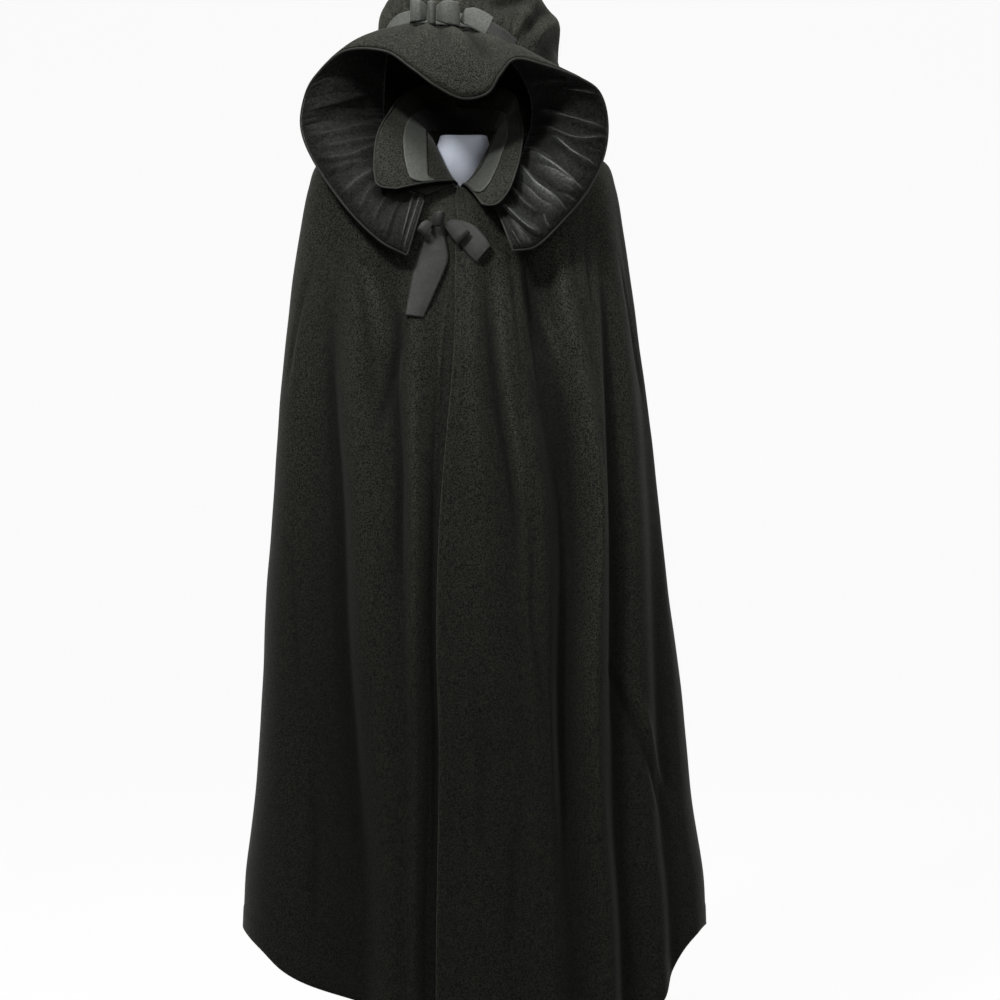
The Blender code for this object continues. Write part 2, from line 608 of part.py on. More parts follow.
def pucker_weight(column, out):
    """How far the velvet stands out: ridges that start and end unevenly."""
    if column % 2:
        return 0.0
    uneven = 0.72 + 0.28 * math.sin(1.2 * column)
    middle = 0.56 + 0.08 * math.sin(0.85 * column + 1.0)
    return uneven * max(0.0, 1 - ((out - middle) / 0.60) ** 2)


def make_ruffle():
    stations = edge_stations(2 * RUFFLE_PUCKERS + 1)
    outs = [row / (RUFFLE_ROWS - 1) for row in range(RUFFLE_ROWS)]
    wool_rows = []
    velvet_rows = []
    for out in outs:
        wool_row = []
        velvet_row = []
        for station in stations:
            middle = ruffle_middle(station, out)
            facing = ruffle_facing_way(station, out)
            wool_row.append(middle - facing * (SEAM_GAP / 2))
            velvet_row.append(middle + facing * (SEAM_GAP / 2))
        wool_rows.append(wool_row)
        velvet_rows.append(velvet_row)
    outer = add_part("ruffle_outer", sheet_mesh("ruffle_outer", wool_rows), "wool")
    add_wall(outer, WOOL, 1)
    facing_mesh = sheet_mesh("ruffle_facing", velvet_rows)
    facing_mesh.flip_normals()
    facing_part = add_part("ruffle_facing", facing_mesh, "velvet")
    puckers = facing_part.vertex_groups.new(name="puckers")
    for row, out in enumerate(outs):
        for column in range(len(stations)):
            weight = pucker_weight(column, out)
            puckers.add([row * len(stations) + column], weight, "REPLACE")
    full = VELVET + PUCKER_HEIGHT
    wall = add_wall(facing_part, full, 1)
    wall.vertex_group = "puckers"
    wall.thickness_vertex_group = VELVET / full
    cord = rim_cord(ruffle_middle, stations, (0.06, 0.3, 0.54, 0.78), RUFFLE_PIPING_RADIUS + PIPING_GAP)
    add_piping("ruffle_piping", cord, RUFFLE_PIPING_RADIUS, 1)


# ---------------------------------------------------------------- the hood
HOOD_TRACK = Track([strip.station for strip in HOOD], [strip[1:] for strip in HOOD])
BAND_EDGES = (0.003, 0.014, 0.025)
HOOD_SHARES = (0.12, 0.24, 0.37, 0.50, 0.63, 0.75, 0.87, 1.0)


def neck_point(turn, inset=0.0, lift=0.0):
    """A point by the neck seam: inset towards the neck and lifted off the cloth."""
    off_cloth = cloth_outward(0.0, -turn)
    along = cloth_point(0.0, -turn - 1, 0.0) - cloth_point(0.0, -turn + 1, 0.0)
    inward = along.cross(off_cloth).normalized()
    return cloth_point(0.0, -turn, 0.0) + inward * inset + off_cloth * lift


def hood_point(station, back):
    """The hood's outside, from the ruffle's seam (0) to the neck seam (1)."""
    turn, face_x, face_y, face_rise, neck_x, neck_y, neck_rise = HOOD_TRACK.at(station)
    start = ruffle_middle(station, 0.0)
    over_lap = LAP_RISE * soft_step((turn - 330) / 12)
    end = neck_point(turn, 0.0, SEAM_GAP + over_lap)
    start_handle = start + Vector((face_x, face_y, face_rise))
    end_handle = end + Vector((neck_x, neck_y, neck_rise))
    start += (start_handle - start).normalized() * 0.0045
    ahead = 1 - back
    point = start * ahead**3 + start_handle * (3 * back * ahead**2)
    return point + end_handle * (3 * back**2 * ahead) + end * back**3


def hood_outward(station, back):
    step = 0.02
    last = len(RUFFLE) - 1
    before, after = max(station - step, 0.0), min(station + step, last)
    low, high = max(back - step, 0.0), min(back + step, 1.0)
    along = hood_point(after, back) - hood_point(before, back)
    across = hood_point(station, high) - hood_point(station, low)
    return along.cross(across).normalized()


def gather_depth(column, back):
    """Gathers that run in from the ruffle's seam and out from the neck seam."""
    crest = 1 if column % 2 else -0.4
    from_throat = min(column, 2 * HOOD_GATHERS - column)
    uneven = (0.7 + 0.3 * math.sin(1.9 * column)) * soft_step((from_throat - 4) / 6)
    front = max(0.0, 1 - back / 0.42) * soft_step(back / 0.06)
    nape = max(0.0, 1 - (1 - back) / 0.35) * soft_step((1 - back) / 0.08)
    return crest * uneven * (0.0045 * front + 0.003 * nape)


def hood_surface(station, column, back, lift=0.0):
    depth = gather_depth(column, back) + lift
    return hood_point(station, back) + hood_outward(station, back) * depth


def hood_rows(station):
    """Places down a strip: the band's edges, at one distance from the seam, then even shares."""
    fine = [step / 60 for step in range(61)]
    points = [hood_point(station, back) for back in fine]
    steps = [0.0] + [(b - a).length for a, b in zip(points, points[1:])]
    lengths = np.cumsum(steps)
    band = [float(np.interp(edge, lengths, fine)) for edge in BAND_EDGES]
    return [0.0] + band + [band[-1] + (1 - band[-1]) * share for share in HOOD_SHARES]


def hood_columns():
    last = len(RUFFLE) - 1
    return np.linspace(0, last, 2 * HOOD_GATHERS + 1)


def make_hood():
    strips = []
    for column, station in enumerate(hood_columns()):
        strips.append([hood_surface(station, column, back) for back in hood_rows(station)])
    mesh = sheet_mesh("hood", list(zip(*strips)))
    mesh.flip_normals()
    hood = add_part("hood", mesh, "wool")
    add_wall(hood, WOOL, -1)


# ---------------------------------------------------------------- the collar
COLLAR_TRACK = Track([fall.turn for fall in COLLAR], [fall[2:] for fall in COLLAR])
COLLAR_COLUMNS = 38


def collar_turns():
    """Turns of the collar's columns, with more by its two rounded corners."""
    first, last = COLLAR[0].turn, COLLAR[-1].turn
    even = list(np.linspace(first, last, COLLAR_COLUMNS + 1))
    corners = [first + 2.0, first + 5.0, last - 5.0, last - 2.0]
    return sorted(even + corners)


def collar_point(turn, out):
    """The collar's inner face, from the neck seam (0) to the piped edge (1)."""
    from_end = min(turn - COLLAR[0].turn, COLLAR[-1].turn - turn) / CORNER_DEGREES
    out *= 1 - CORNER_CUT * max(0.0, 1 - from_end) ** 2
    start = neck_point(turn, COLLAR_INSET, SEAM_GAP)
    edge_x, edge_y, edge_rise, push, _ = COLLAR_TRACK.at(turn)
    edge = raised(edge_x, edge_y, edge_rise)
    stand = neck_point(turn, COLLAR_INSET, COLLAR_STAND)
    fall = (start + edge) / 2 + Vector((0.0, -push, 0.004))
    near = 1 - out
    point = start * near**3 + stand * (3 * out * near**2)
    return point + fall * (3 * out**2 * near) + edge * out**3


def collar_inward(turn, out):
    step = 0.02
    low, high = max(out - step, 0.0), min(out + step, 1.0)
    along = collar_point(turn + 1, out) - collar_point(turn - 1, out)
    across = collar_point(turn, high) - collar_point(turn, low)
    return along.cross(across).normalized()


def collar_rows(turn):
    """Places out along a column: three up to the stripe, three on it, two beyond."""
    stripe = COLLAR_TRACK.at(turn)[4]
    shares = [0.0, stripe / 3, 2 * stripe / 3, stripe, (stripe + STRIPE_END) / 2]
    return shares + [STRIPE_END, (1 + STRIPE_END) / 2, 1.0]


def collar_sheet(rows, lift):
    columns = []
    for turn in collar_turns():
        outs = collar_rows(turn)[rows]
        columns.append([collar_point(turn, out) + collar_inward(turn, out) * lift for out in outs])
    return list(zip(*columns))


def make_collar():
    mesh = sheet_mesh("collar", collar_sheet(slice(0, 8), 0.0))
    collar = add_part("collar", mesh, "wool")
    add_wall(collar, WOOL, 1)
    stripe_mesh = sheet_mesh("collar_stripe", collar_sheet(slice(3, 6), PATCH_GAP))
    stripe = add_part("collar_stripe", stripe_mesh, "ribbon")
    add_wall(stripe, RIBBON, -1)
    cord = rim_cord(
        collar_point, collar_turns(), (0.34, 0.56, 0.78), COLLAR_PIPING_RADIUS + PIPING_GAP
    )
    add_piping("collar_piping", cord, COLLAR_PIPING_RADIUS, 1)


# ---------------------------------------------------------------- ribbons
def make_band():
    """The ribbon along the top of the ruffle's seam, made from the hood's own points."""
    strips = []
    for column, station in enumerate(hood_columns()):
        if BAND_START <= station <= BAND_END:
            places = hood_rows(station)[1 : 1 + len(BAND_EDGES)]
            strips.append([hood_surface(station, column, back, PATCH_GAP) for back in places])
    mesh = sheet_mesh("hood_band", list(zip(*strips)))
    mesh.flip_normals()
    band = add_part("hood_band", mesh, "ribbon")
    add_wall(band, RIBBON, 1)


def make_ribbon(name, stretches):
    """A ribbon through its stretches, as wide and as leaning as each says."""
    track = Track(range(len(stretches)), stretches)
    steps = 2 * (len(stretches) - 1)
    rows = []
    for step in range(steps + 1):
        x, y, rise, width, lean = track.at(step / 2)
        middle = raised(x, y, rise)
        lean = math.radians(lean)
        half = Vector((math.cos(lean), 0.0, math.sin(lean))) * (width / 2)
        bow = Vector((0.0, -0.0015, 0.0))
        rows.append([middle - half, middle + bow, middle + half])
    ribbon = add_part(name, sheet_mesh(name, rows), "ribbon")
    add_wall(ribbon, RIBBON, 0)


def make_bows():
    for name, stretches in {**THROAT_BOW, **HOOD_BOW}.items():
        make_ribbon(name, stretches)


# ---------------------------------------------------------------- the dress form
def make_form():
    """The neck, then the shoulders just inside the cloak, then the torso."""
    angles = [360 * column / FORM_COLUMNS for column in range(FORM_COLUMNS)]
    neck = [ring_numbers(FORM_NECK_TOP), ring_numbers(FORM_NECK_BASE)]
    rows = [[ring_point(ring, angle) for angle in angles] for ring in neck]
    for name, gap in SHOULDER_GAPS.items():
        rows.append([cloth_point(REACH_OF[name], angle, -WOOL - gap) for angle in angles])
    torso = [ring_numbers(ring) for ring in FORM_RINGS]
    rows += [[ring_point(ring, angle) for angle in angles] for ring in torso]
    mesh = sheet_mesh("dress_form", rows, closed=True)
    body = bmesh.new()
    body.from_mesh(mesh)
    rims = [edge for edge in body.edges if edge.is_boundary]
    bmesh.ops.holes_fill(body, edges=rims)
    bmesh.ops.recalc_face_normals(body, faces=body.faces)
    body.to_mesh(mesh)
    body.free()
    add_part("dress_form", mesh, "form_cloth")


def make_stand():
    gap = 0.0003
    torso_foot = NECK_HEIGHT + FORM_RINGS[-1].side_rise
    base = bmesh.new()
    bmesh.ops.create_cone(
        base, cap_ends=True, segments=48, radius1=BASE_RADIUS, radius2=BASE_RADIUS, depth=BASE_HEIGHT
    )
    base_mesh = bpy.data.meshes.new("stand_base")
    base.to_mesh(base_mesh)
    base.free()
    base_part = add_part("stand_base", base_mesh, "stand_metal")
    base_part.location.z = BASE_HEIGHT / 2
    edge = base_part.modifiers.new("soft edge", "BEVEL")
    edge.width = 0.004
    pole_length = torso_foot - BASE_HEIGHT - 2 * gap
    pole = bmesh.new()
    bmesh.ops.create_cone(
        pole, cap_ends=True, segments=24, radius1=POLE_RADIUS, radius2=POLE_RADIUS, depth=pole_length
    )
    pole_mesh = bpy.data.meshes.new("stand_pole")
    pole.to_mesh(pole_mesh)
    pole.free()
    pole_part = add_part("stand_pole", pole_mesh, "stand_metal")
    pole_part.location.z = BASE_HEIGHT + gap + pole_length / 2


for old in list(bpy.data.objects):
    bpy.data.objects.remove(old, do_unlink=True)
collection = bpy.data.collections.new("hooded_cloak")
bpy.context.scene.collection.children.link(collection)
make_cloak()
make_ruffle()
make_hood()
make_collar()
make_band()
make_bows()
make_form()
make_stand()
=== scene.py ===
# %% [markdown]
# # A hooded wool cloak, dressed for its portrait
#
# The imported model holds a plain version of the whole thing: two fronts and a back of heavy wool, a
# gathered hood with a wide ruffle, a flared collar, two ribbon bows, and the dress form below. This
# notebook keeps every size of it and gives each piece the form and finish of real cloth. Each step
# first says what the piece is, how it could be made and why it is made this way.

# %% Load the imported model
import math
from collections import namedtuple

import bmesh
import bpy
import numpy as np
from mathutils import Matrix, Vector


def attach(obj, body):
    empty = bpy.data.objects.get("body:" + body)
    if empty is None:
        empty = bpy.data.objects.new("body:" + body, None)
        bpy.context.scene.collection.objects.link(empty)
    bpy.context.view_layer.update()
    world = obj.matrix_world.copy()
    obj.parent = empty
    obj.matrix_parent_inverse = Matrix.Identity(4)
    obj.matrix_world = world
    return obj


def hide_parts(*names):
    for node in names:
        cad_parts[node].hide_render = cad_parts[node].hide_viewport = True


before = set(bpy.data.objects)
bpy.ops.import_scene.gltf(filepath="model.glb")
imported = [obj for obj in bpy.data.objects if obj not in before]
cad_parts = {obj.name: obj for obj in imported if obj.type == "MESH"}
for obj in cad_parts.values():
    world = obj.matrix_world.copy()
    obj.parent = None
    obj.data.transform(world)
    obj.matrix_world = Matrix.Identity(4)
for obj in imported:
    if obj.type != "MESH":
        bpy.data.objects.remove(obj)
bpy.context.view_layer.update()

# %% [markdown]
# ## The sizes that all the pieces share
#
# Heights in the tables are called rise and are measured from the middle of the neck seam, because a
# tailor measures a cloak from the neck. Angles go round the body: 0 is the middle of the front, 90
# the wearer's left side. Wool for a cloak is about 2 mm thick, ribbon about 1 mm. The helper below
# makes each table: a row reads best in whole millimetres, and the scene is in metres.

# %% Shared sizes
NECK_HEIGHT = 1.380
WOOL = 0.0020
VELVET = 0.0018
RIBBON = 0.0010
PATCH_GAP = 0.0008
PIPING_NEST = 0.0003
SEAM_GAP = 0.0008
NECK_SEAM_GAP = 0.0003
LAP_GAP = 0.0017
LAP_RISE = 0.0035


def table(fields, rows, mm=slice(0, 0)):
    """Rows with named fields. The slice mm of each is written in millimetres, kept in metres."""
    Row = namedtuple("Row", fields)
    kept = []
    for row in rows:
        numbers = list(row)
        numbers[mm] = [number / 1000 for number in row[mm]]
        kept.append(Row(*numbers))
    return kept


def add_object(name, data):
    thing = bpy.data.objects.new(name, data)
    bpy.context.collection.objects.link(thing)
    return thing


print("cloth walls in mm:", [1000 * wall for wall in (WOOL, VELVET, RIBBON)])

# %% [markdown]
# ## Camera, light and backdrop
#
# The cloak is nearly black, so only the light shapes it. A fairly small lamp high on the left draws
# the creases, a large one overhead lights the shoulders, and wide weak ones on the right and in
# front open the shadows. Two more graze the edges from behind, where wool nap always catches light.
# The backdrop is one sheet of paper that runs up behind and glows a plain white. Its part in front
# of the cloak is dark, because a white floor there would light the cloth from below. The class
# after the lamps adds nodes to a material's shader, here for the paper and later for the cloths.

# %% Camera
CAMERA_DISTANCE = 2.6
CAMERA_X = 0.05075
CAMERA_HEIGHT = 0.89425
CAMERA_REACH = 60.0
VIEW_WIDTH = 1.45
SENSOR_MM = 36.0

camera_data = bpy.data.cameras.new("camera")
camera_data.sensor_width = SENSOR_MM
camera_data.lens = SENSOR_MM * CAMERA_DISTANCE / VIEW_WIDTH
camera_data.clip_end = CAMERA_REACH
camera = add_object("camera", camera_data)
camera.location = (CAMERA_X, -CAMERA_DISTANCE, CAMERA_HEIGHT)
camera.rotation_euler = (math.radians(90), 0.0, 0.0)
bpy.context.scene.camera = camera
bpy.context.scene.view_settings.view_transform = "Standard"
print("camera lens in mm:", round(camera_data.lens, 2))

# %% Lamps
LAMPS = table("name place size watts", [
    ("key", (-0.98, -1.42, 2.80), 0.4, 67),
    ("top", (0.00, -0.72, 3.15), 1.0, 52),
    ("fill", (1.80, -1.70, 2.50), 1.2, 20),
    ("front", (0.20, -2.30, 1.60), 0.6, 7),
    ("left edge", (-2.20, 1.20, 2.40), 1.4, 2.8),
    ("right edge", (2.20, 1.20, 2.40), 1.4, 6),
])
AIM = Vector((0.0, 0.0, 1.25))
WHITE = (1.0, 1.0, 1.0)
WORLD_STRENGTH = 0.12

for lamp in LAMPS:
    light = bpy.data.lights.new(lamp.name, "AREA")
    light.shape = "DISK"
    light.size = lamp.size
    light.energy = lamp.watts
    holder = add_object(lamp.name, light)
    holder.location = lamp.place
    holder.rotation_euler = (AIM - Vector(lamp.place)).to_track_quat("-Z", "Y").to_euler()

world = bpy.data.worlds.new("studio")
world.use_nodes = True
glow = world.node_tree.nodes["Background"]
glow.inputs["Color"].default_value = (*WHITE, 1.0)
glow.inputs["Strength"].default_value = WORLD_STRENGTH
bpy.context.scene.world = world
print("lamps:", len(LAMPS))

# %% Shader nodes
MATERIALS = {}


class Finish:
    """A material, with short ways to add nodes to its shader."""

    def __init__(self, name):
        material = bpy.data.materials.new(name)
        material.use_nodes = True
        MATERIALS[name] = material
        self.tree = material.node_tree
        self.shader = self.tree.nodes["Principled BSDF"]

    def set(self, node, inputs):
        """Gives a node's inputs their numbers, or joins them to the outputs of other nodes."""
        for name, value in inputs.items():
            if isinstance(value, bpy.types.NodeSocket):
                self.tree.links.new(value, node.inputs[name])
            else:
                node.inputs[name].default_value = value

    def add(self, kind, output, inputs, **settings):
        """One output of a new node."""
        node = self.tree.nodes.new("ShaderNode" + kind)
        for name, value in settings.items():
            setattr(node, name, value)
        self.set(node, inputs)
        return node.outputs[output]

    def axis(self, which):
        """One coordinate of a point of the surface, in metres of the object."""
        spot = self.add("TexCoord", "Object", {})
        return self.add("SeparateXYZ", which, {"Vector": spot})

    def map(self, value, low, high, start=0.0, end=1.0, curve="LINEAR"):
        """A value between start and end, made one between low and high."""
        span = {"Value": value, "From Min": start, "From Max": end, "To Min": low, "To Max": high}
        return self.add("MapRange", "Result", span, interpolation_type=curve)


print("shader tools ready")

# %% Paper sweep
SWEEP_HALF = 7.0
SWEEP_BACK = 4.5
SWEEP_BEND = 1.6
SWEEP_TOP = 7.0
SWEEP_DARK_Y = -0.6
SWEEP_LIT_Y = 0.55
# How strongly the paper glows and how pale it is, before and behind those places.
SWEEP_GLOW = (0.05, 0.93)
SWEEP_TONE = (0.45, 0.06)


def make_sweep():
    bend = [math.radians(90 * step / 12) for step in range(13)]
    profile = [(-SWEEP_HALF, 0.0)]
    profile += [
        (SWEEP_BACK + SWEEP_BEND * math.sin(turn), SWEEP_BEND * (1 - math.cos(turn)))
        for turn in bend
    ]
    profile.append((SWEEP_BACK + SWEEP_BEND, SWEEP_TOP))
    points = [(side * SWEEP_HALF, y, z) for y, z in profile for side in (-1, 1)]
    faces = [(2 * n, 2 * n + 1, 2 * n + 3, 2 * n + 2) for n in range(len(profile) - 1)]
    mesh = bpy.data.meshes.new("sweep")
    mesh.from_pydata(points, [], faces)
    mesh.shade_smooth()
    paper = Finish("paper")
    y = paper.axis("Y")
    paper.set(paper.shader, {
        "Roughness": 0.9,
        "Specular IOR Level": 0.0,
        "Emission Color": (*WHITE, 1.0),
        "Emission Strength": paper.map(y, *SWEEP_GLOW, SWEEP_DARK_Y, SWEEP_LIT_Y, "SMOOTHSTEP"),
        "Base Color": paper.map(y, *SWEEP_TONE, SWEEP_DARK_Y, SWEEP_LIT_Y, "SMOOTHSTEP"),
    })
    mesh.materials.append(MATERIALS["paper"])
    sweep = add_object("sweep", mesh)


make_sweep()
print("sweep reaches", SWEEP_BACK + SWEEP_BEND, "m behind the cloak")

# %% [markdown]
# ## Small tools for curved cloth
#
# A cloak is easiest to describe as a few rings and folds in a short table, with a smooth curve run
# through the rows. The class below reads such a curve at thousands of places at once, which numpy
# does fast. The other helpers give a soft step, a soft bump, the lengths along a line of points and
# an unevenness that is the same on every run.

# %% Curves through tables
class Track:
    """A smooth curve through the rows of a table, read by its key."""

    def __init__(self, keys, rows):
        self.keys = np.array(keys, dtype=float)
        self.rows = np.array(rows, dtype=float)
        self.slopes = np.gradient(self.rows, self.keys, axis=0)

    def at(self, key):
        key = np.asarray(key, dtype=float)
        place = np.clip(np.searchsorted(self.keys, key) - 1, 0, len(self.keys) - 2)
        span = self.keys[place + 1] - self.keys[place]
        s = np.clip((key - self.keys[place]) / span, 0.0, 1.0)[..., None]
        span = span[..., None]
        start = (1 + 2 * s) * (1 - s) ** 2 * self.rows[place]
        leave = s * (1 - s) ** 2 * span * self.slopes[place]
        end = s * s * (3 - 2 * s) * self.rows[place + 1]
        arrive = s * s * (s - 1) * span * self.slopes[place + 1]
        return start + leave + end + arrive


def soft_step(s):
    s = np.clip(s, 0.0, 1.0)
    return s * s * (3 - 2 * s)


def soft_bump(distance, width):
    """1 at no distance, fading to nothing over about two widths."""
    return np.exp(-((distance / width) ** 2))


def raised(points):
    """Rows of x, y and rise, as places in the scene."""
    return np.asarray(points, dtype=float) + np.array([0.0, 0.0, NECK_HEIGHT])


def unit(vectors):
    return vectors / np.linalg.norm(vectors, axis=-1, keepdims=True)


def travelled(points, axis=0):
    """How far each point lies from the first, along one way of a grid."""
    steps = np.linalg.norm(np.diff(points, axis=axis), axis=-1)
    return np.insert(np.cumsum(steps, axis=axis), 0, 0.0, axis=axis)


def both(first, second):
    """Two numbers or arrays, as arrays of one shape."""
    return np.broadcast_arrays(np.asarray(first, float), np.asarray(second, float))


def waver(place, seed):
    """A smooth uneven number between about -1 and 1, the same on every run."""
    return (
        0.5 * np.sin(1.31 * place + 2.1 * seed)
        + 0.3 * np.sin(2.83 * place + 4.7 * seed)
        + 0.2 * np.sin(5.17 * place + 1.3 * seed)
    )


print("soft step at one half:", float(soft_step(0.5)))

# %% [markdown]
# ## From rows of points to a piece of cloth
#
# Every cloth piece here is one grid of points, so one helper can build them all. It makes the quads,
# lays a flat cutting pattern over them in metres as the UV map, which the ribbon's ribs follow, and
# gives the sheet its thickness with a Solidify modifier. A second map says how worn the cloth is and
# carries painted light and shade too: towards 1 on ridges and edges, where it rubs and its nap goes
# pale and a painted highlight lightens it, and towards 0 in a crease, where painted shade darkens
# it. A simulation could drape the cloth as well, but listing the folds keeps them where this cloak
# has them.

# %% Sheets of cloth
def pattern_lengths(points):
    """How far each column and row lies from the first, in metres of cloth."""
    return travelled(points, axis=1).mean(axis=0), travelled(points).mean(axis=1)


def pattern_size(points):
    return [round(float(lengths[-1]), 3) for lengths in pattern_lengths(points)]


def grid_mesh(name, points, flip=False, closed=False):
    rows, columns, _ = points.shape
    mesh = bpy.data.meshes.new(name)
    index = np.arange(rows * columns).reshape(rows, columns)
    if closed:
        index = np.hstack([index, index[:, :1]])
    quads = np.stack([index[:-1, :-1], index[1:, :-1], index[1:, 1:], index[:-1, 1:]], axis=-1)
    quads = quads.reshape(-1, 4)
    if flip:
        quads = quads[:, ::-1]
    mesh.from_pydata(points.reshape(-1, 3).tolist(), [], quads.tolist())
    across, down = pattern_lengths(points)
    spots = np.stack(np.meshgrid(across, down), axis=-1).reshape(-1, 2)
    pattern = mesh.uv_layers.new(name="pattern")
    pattern.data.foreach_set("uv", spots[quads.reshape(-1)].reshape(-1).astype(np.float32))
    mesh.shade_smooth()
    return mesh


def finish_piece(piece, nodes, slot):
    piece.data.materials.append(MATERIALS[slot])
    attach(piece, "root")
    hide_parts(*nodes)
    return piece


def lay_wear_and_shading(mesh, wear):
    """Lays a second map over a sheet: how far each of its points has been rubbed, with painted shade
    and painted highlights mixed in, 0 to 1.
    """
    corners = np.empty(len(mesh.loops), dtype=np.int32)
    mesh.loops.foreach_get("vertex_index", corners)
    spots = np.zeros((len(corners), 2), dtype=np.float32)
    spots[:, 0] = np.clip(wear, 0.0, 1.0).reshape(-1)[corners]
    mesh.uv_layers.new(name="wear").data.foreach_set("uv", spots.reshape(-1))


def add_sheet(name, points, wall, side, nodes, slot, flip=False, wear=None):
    """A piece of cloth: side says if its wall grows the way its faces point (+1) or back (-1)."""
    mesh = grid_mesh(name, points, flip)
    lay_wear_and_shading(mesh, np.full(points.shape[:2], 0.5) if wear is None else wear)
    piece = add_object(name, mesh)
    thickness = piece.modifiers.new("thickness", "SOLIDIFY")
    thickness.thickness = wall
    thickness.offset = side
    return finish_piece(piece, nodes, slot)


def add_cord(name, points, radius, nodes):
    """A round satin cord through a line of points."""
    curve = bpy.data.curves.new(name, "CURVE")
    curve.dimensions = "3D"
    curve.bevel_depth = radius
    curve.bevel_resolution = 3
    curve.use_fill_caps = True
    spline = curve.splines.new("POLY")
    spline.points.add(len(points) - 1)
    spline.points.foreach_set("co", np.hstack([points, np.ones((len(points), 1))]).reshape(-1))
    print(name, "length in m:", round(float(travelled(points)[-1]), 3))
    finish_piece(add_object(name, curve), nodes, "piping")


print("cloth helpers ready")

# %% [markdown]
# ## Wool, velvet, ribbon, satin cord, form cloth and metal
#
# Near-black cloths are told apart by how they shine. Fulled wool is matt with a faint grey nap that
# glows at a low angle, here flecked with paler fibres. Velvet drinks light straight on and flares on
# every ridge. Ribbon and satin cord carry a clean, narrow shine. The second map mixes a darker and a
# paler colour of velvet and ribbon, and scales the wool's: it holds rubbing and fading, and also
# painted shade in creases and painted highlights on ridges and edges. The wool is also painted paler
# towards the top, as painted light from above. All of it is noise and waves in shader nodes, sized
# in metres, so the finish stays sharp however near the camera comes.

# %% Material tools
EVEN = (1.0, 1.0, 1.0)


class ClothFinish(Finish):
    """A finish with noise, wear and bumps."""

    def noise(self, scale, detail=2.0, roughness=0.5, stretch=EVEN):
        """Noise with so many grains a metre, stretched along each way of the object."""
        spot = self.add("TexCoord", "Object", {})
        place = self.add("Mapping", "Vector", {"Vector": spot, "Scale": stretch})
        look = {"Vector": place, "Scale": scale, "Detail": detail, "Roughness": roughness}
        return self.add("TexNoise", "Fac", look)

    def two_tone(self, value, start, dark, end, light):
        """A colour that goes from dark to light as a value goes from start to end."""
        ramp = self.tree.nodes.new("ShaderNodeValToRGB")
        for stop, place, colour in zip(ramp.color_ramp.elements, (start, end), (dark, light)):
            stop.position = place
            stop.color = (*colour, 1.0)
        self.set(ramp, {"Fac": value})
        return ramp.outputs["Color"]

    def fade(self, low, high, cloud, cloudy=0.20):
        """0 below one height of the object to 1 above another, with a cloudy border."""
        parts = {0: cloud, 1: cloudy, 2: self.axis("Z")}
        blur = self.add("Math", "Value", parts, operation="MULTIPLY_ADD")
        return self.map(blur, 0.0, 1.0, low + cloudy / 2, high + cloudy / 2)

    def mix(self, share, first, second):
        """Two colours mixed: a mix node's share is socket 0, its colours are 6, 7 and output 2."""
        return self.add("Mix", 2, {0: share, 6: first, 7: second}, data_type="RGBA")

    def wear(self):
        """How far a piece has been rubbed, 0 to 1, with painted shade and painted highlights mixed
        in, from the map laid over it when it was made.
        """
        spot = self.add("UVMap", "UV", {}, uv_map="wear")
        return self.add("SeparateXYZ", "X", {"Vector": spot})

    def bumps(self, *layers):
        """Bumps one over another, each with its height map, its depth in metres and strength."""
        under = {}
        for height, depth, strength in layers:
            inputs = {"Height": height, "Distance": depth, "Strength": strength, **under}
            under = {"Normal": self.add("Bump", "Normal", inputs)}
        self.set(self.shader, under)

    def shine(self, colour, roughness, specular, sheen, sheen_roughness, tint=WHITE):
        self.set(self.shader, {
            "Base Color": colour,
            "Roughness": roughness,
            "Specular IOR Level": specular,
            "Sheen Weight": sheen,
            "Sheen Roughness": sheen_roughness,
            "Sheen Tint": (*tint, 1.0),
        })


print("material tools ready")

# %% The finishes
# Metres from rib to rib, and from band to band in a wave texture at scale 1.
RIB_PERIOD = 0.0016
WAVE_PERIOD = 2 * math.pi / 20


def make_wool():
    wool = ClothFinish("wool")
    fleck = wool.noise(500, 2, 0.75)
    # The darker colour goes low on the cloak and the paler one high up: painted light from above
    # with faded nap, darker towards the bottom.
    unfaded_and_shaded = wool.two_tone(fleck, 0.42, (0.0003, 0.0003, 0.0003), 0.59, (0.0096, 0.0098, 0.0070))
    faded_and_lit = wool.two_tone(fleck, 0.42, (0.0010, 0.0010, 0.0008), 0.59, (0.0248, 0.0252, 0.0190))
    cloth = wool.mix(wool.fade(0.62, 1.55, wool.noise(6, 4, 0.6)), unfaded_and_shaded, faded_and_lit)
    # The second map scales this colour: darker in troughs and creases as painted shade, paler on
    # crests, ridges and the faced edge as painted highlight with rubbed nap.
    rub_and_shading = wool.map(wool.wear(), 0.34, 1.66)
    colour = wool.add("VectorMath", "Vector", {"Vector": cloth, "Scale": rub_and_shading}, operation="SCALE")
    wool.shine(colour, 0.80, 0.09, 0.045, 0.45, (0.95, 1.0, 0.90))
    streak = wool.noise(240, stretch=(1.0, 1.0, 0.16))
    wool.bumps((streak, 0.0012, 0.20), (wool.noise(900, 3, 0.65), 0.0009, 0.45))


def make_velvet():
    velvet = ClothFinish("velvet")
    fleck = velvet.noise(300, 3, 0.85)
    deep = velvet.two_tone(fleck, 0.38, (0.0020, 0.0022, 0.0019), 0.64, (0.0110, 0.0116, 0.0104))
    # The paler colour goes on ridge crests: painted highlight together with rubbed pile.
    crest = velvet.two_tone(fleck, 0.38, (0.0080, 0.0088, 0.0078), 0.64, (0.0330, 0.0350, 0.0318))
    rub_and_shading = velvet.wear()
    roughness, specular = velvet.map(rub_and_shading, 0.52, 0.33), velvet.map(rub_and_shading, 0.03, 0.34, 0.15)
    colour = velvet.mix(rub_and_shading, deep, crest)
    velvet.shine(colour, roughness, specular, 0.10, 0.35, (0.94, 1.0, 0.96))
    velvet.bumps((velvet.noise(150, 3), 0.0024, 0.25), (velvet.noise(900, 3, 0.7), 0.0010, 0.45))


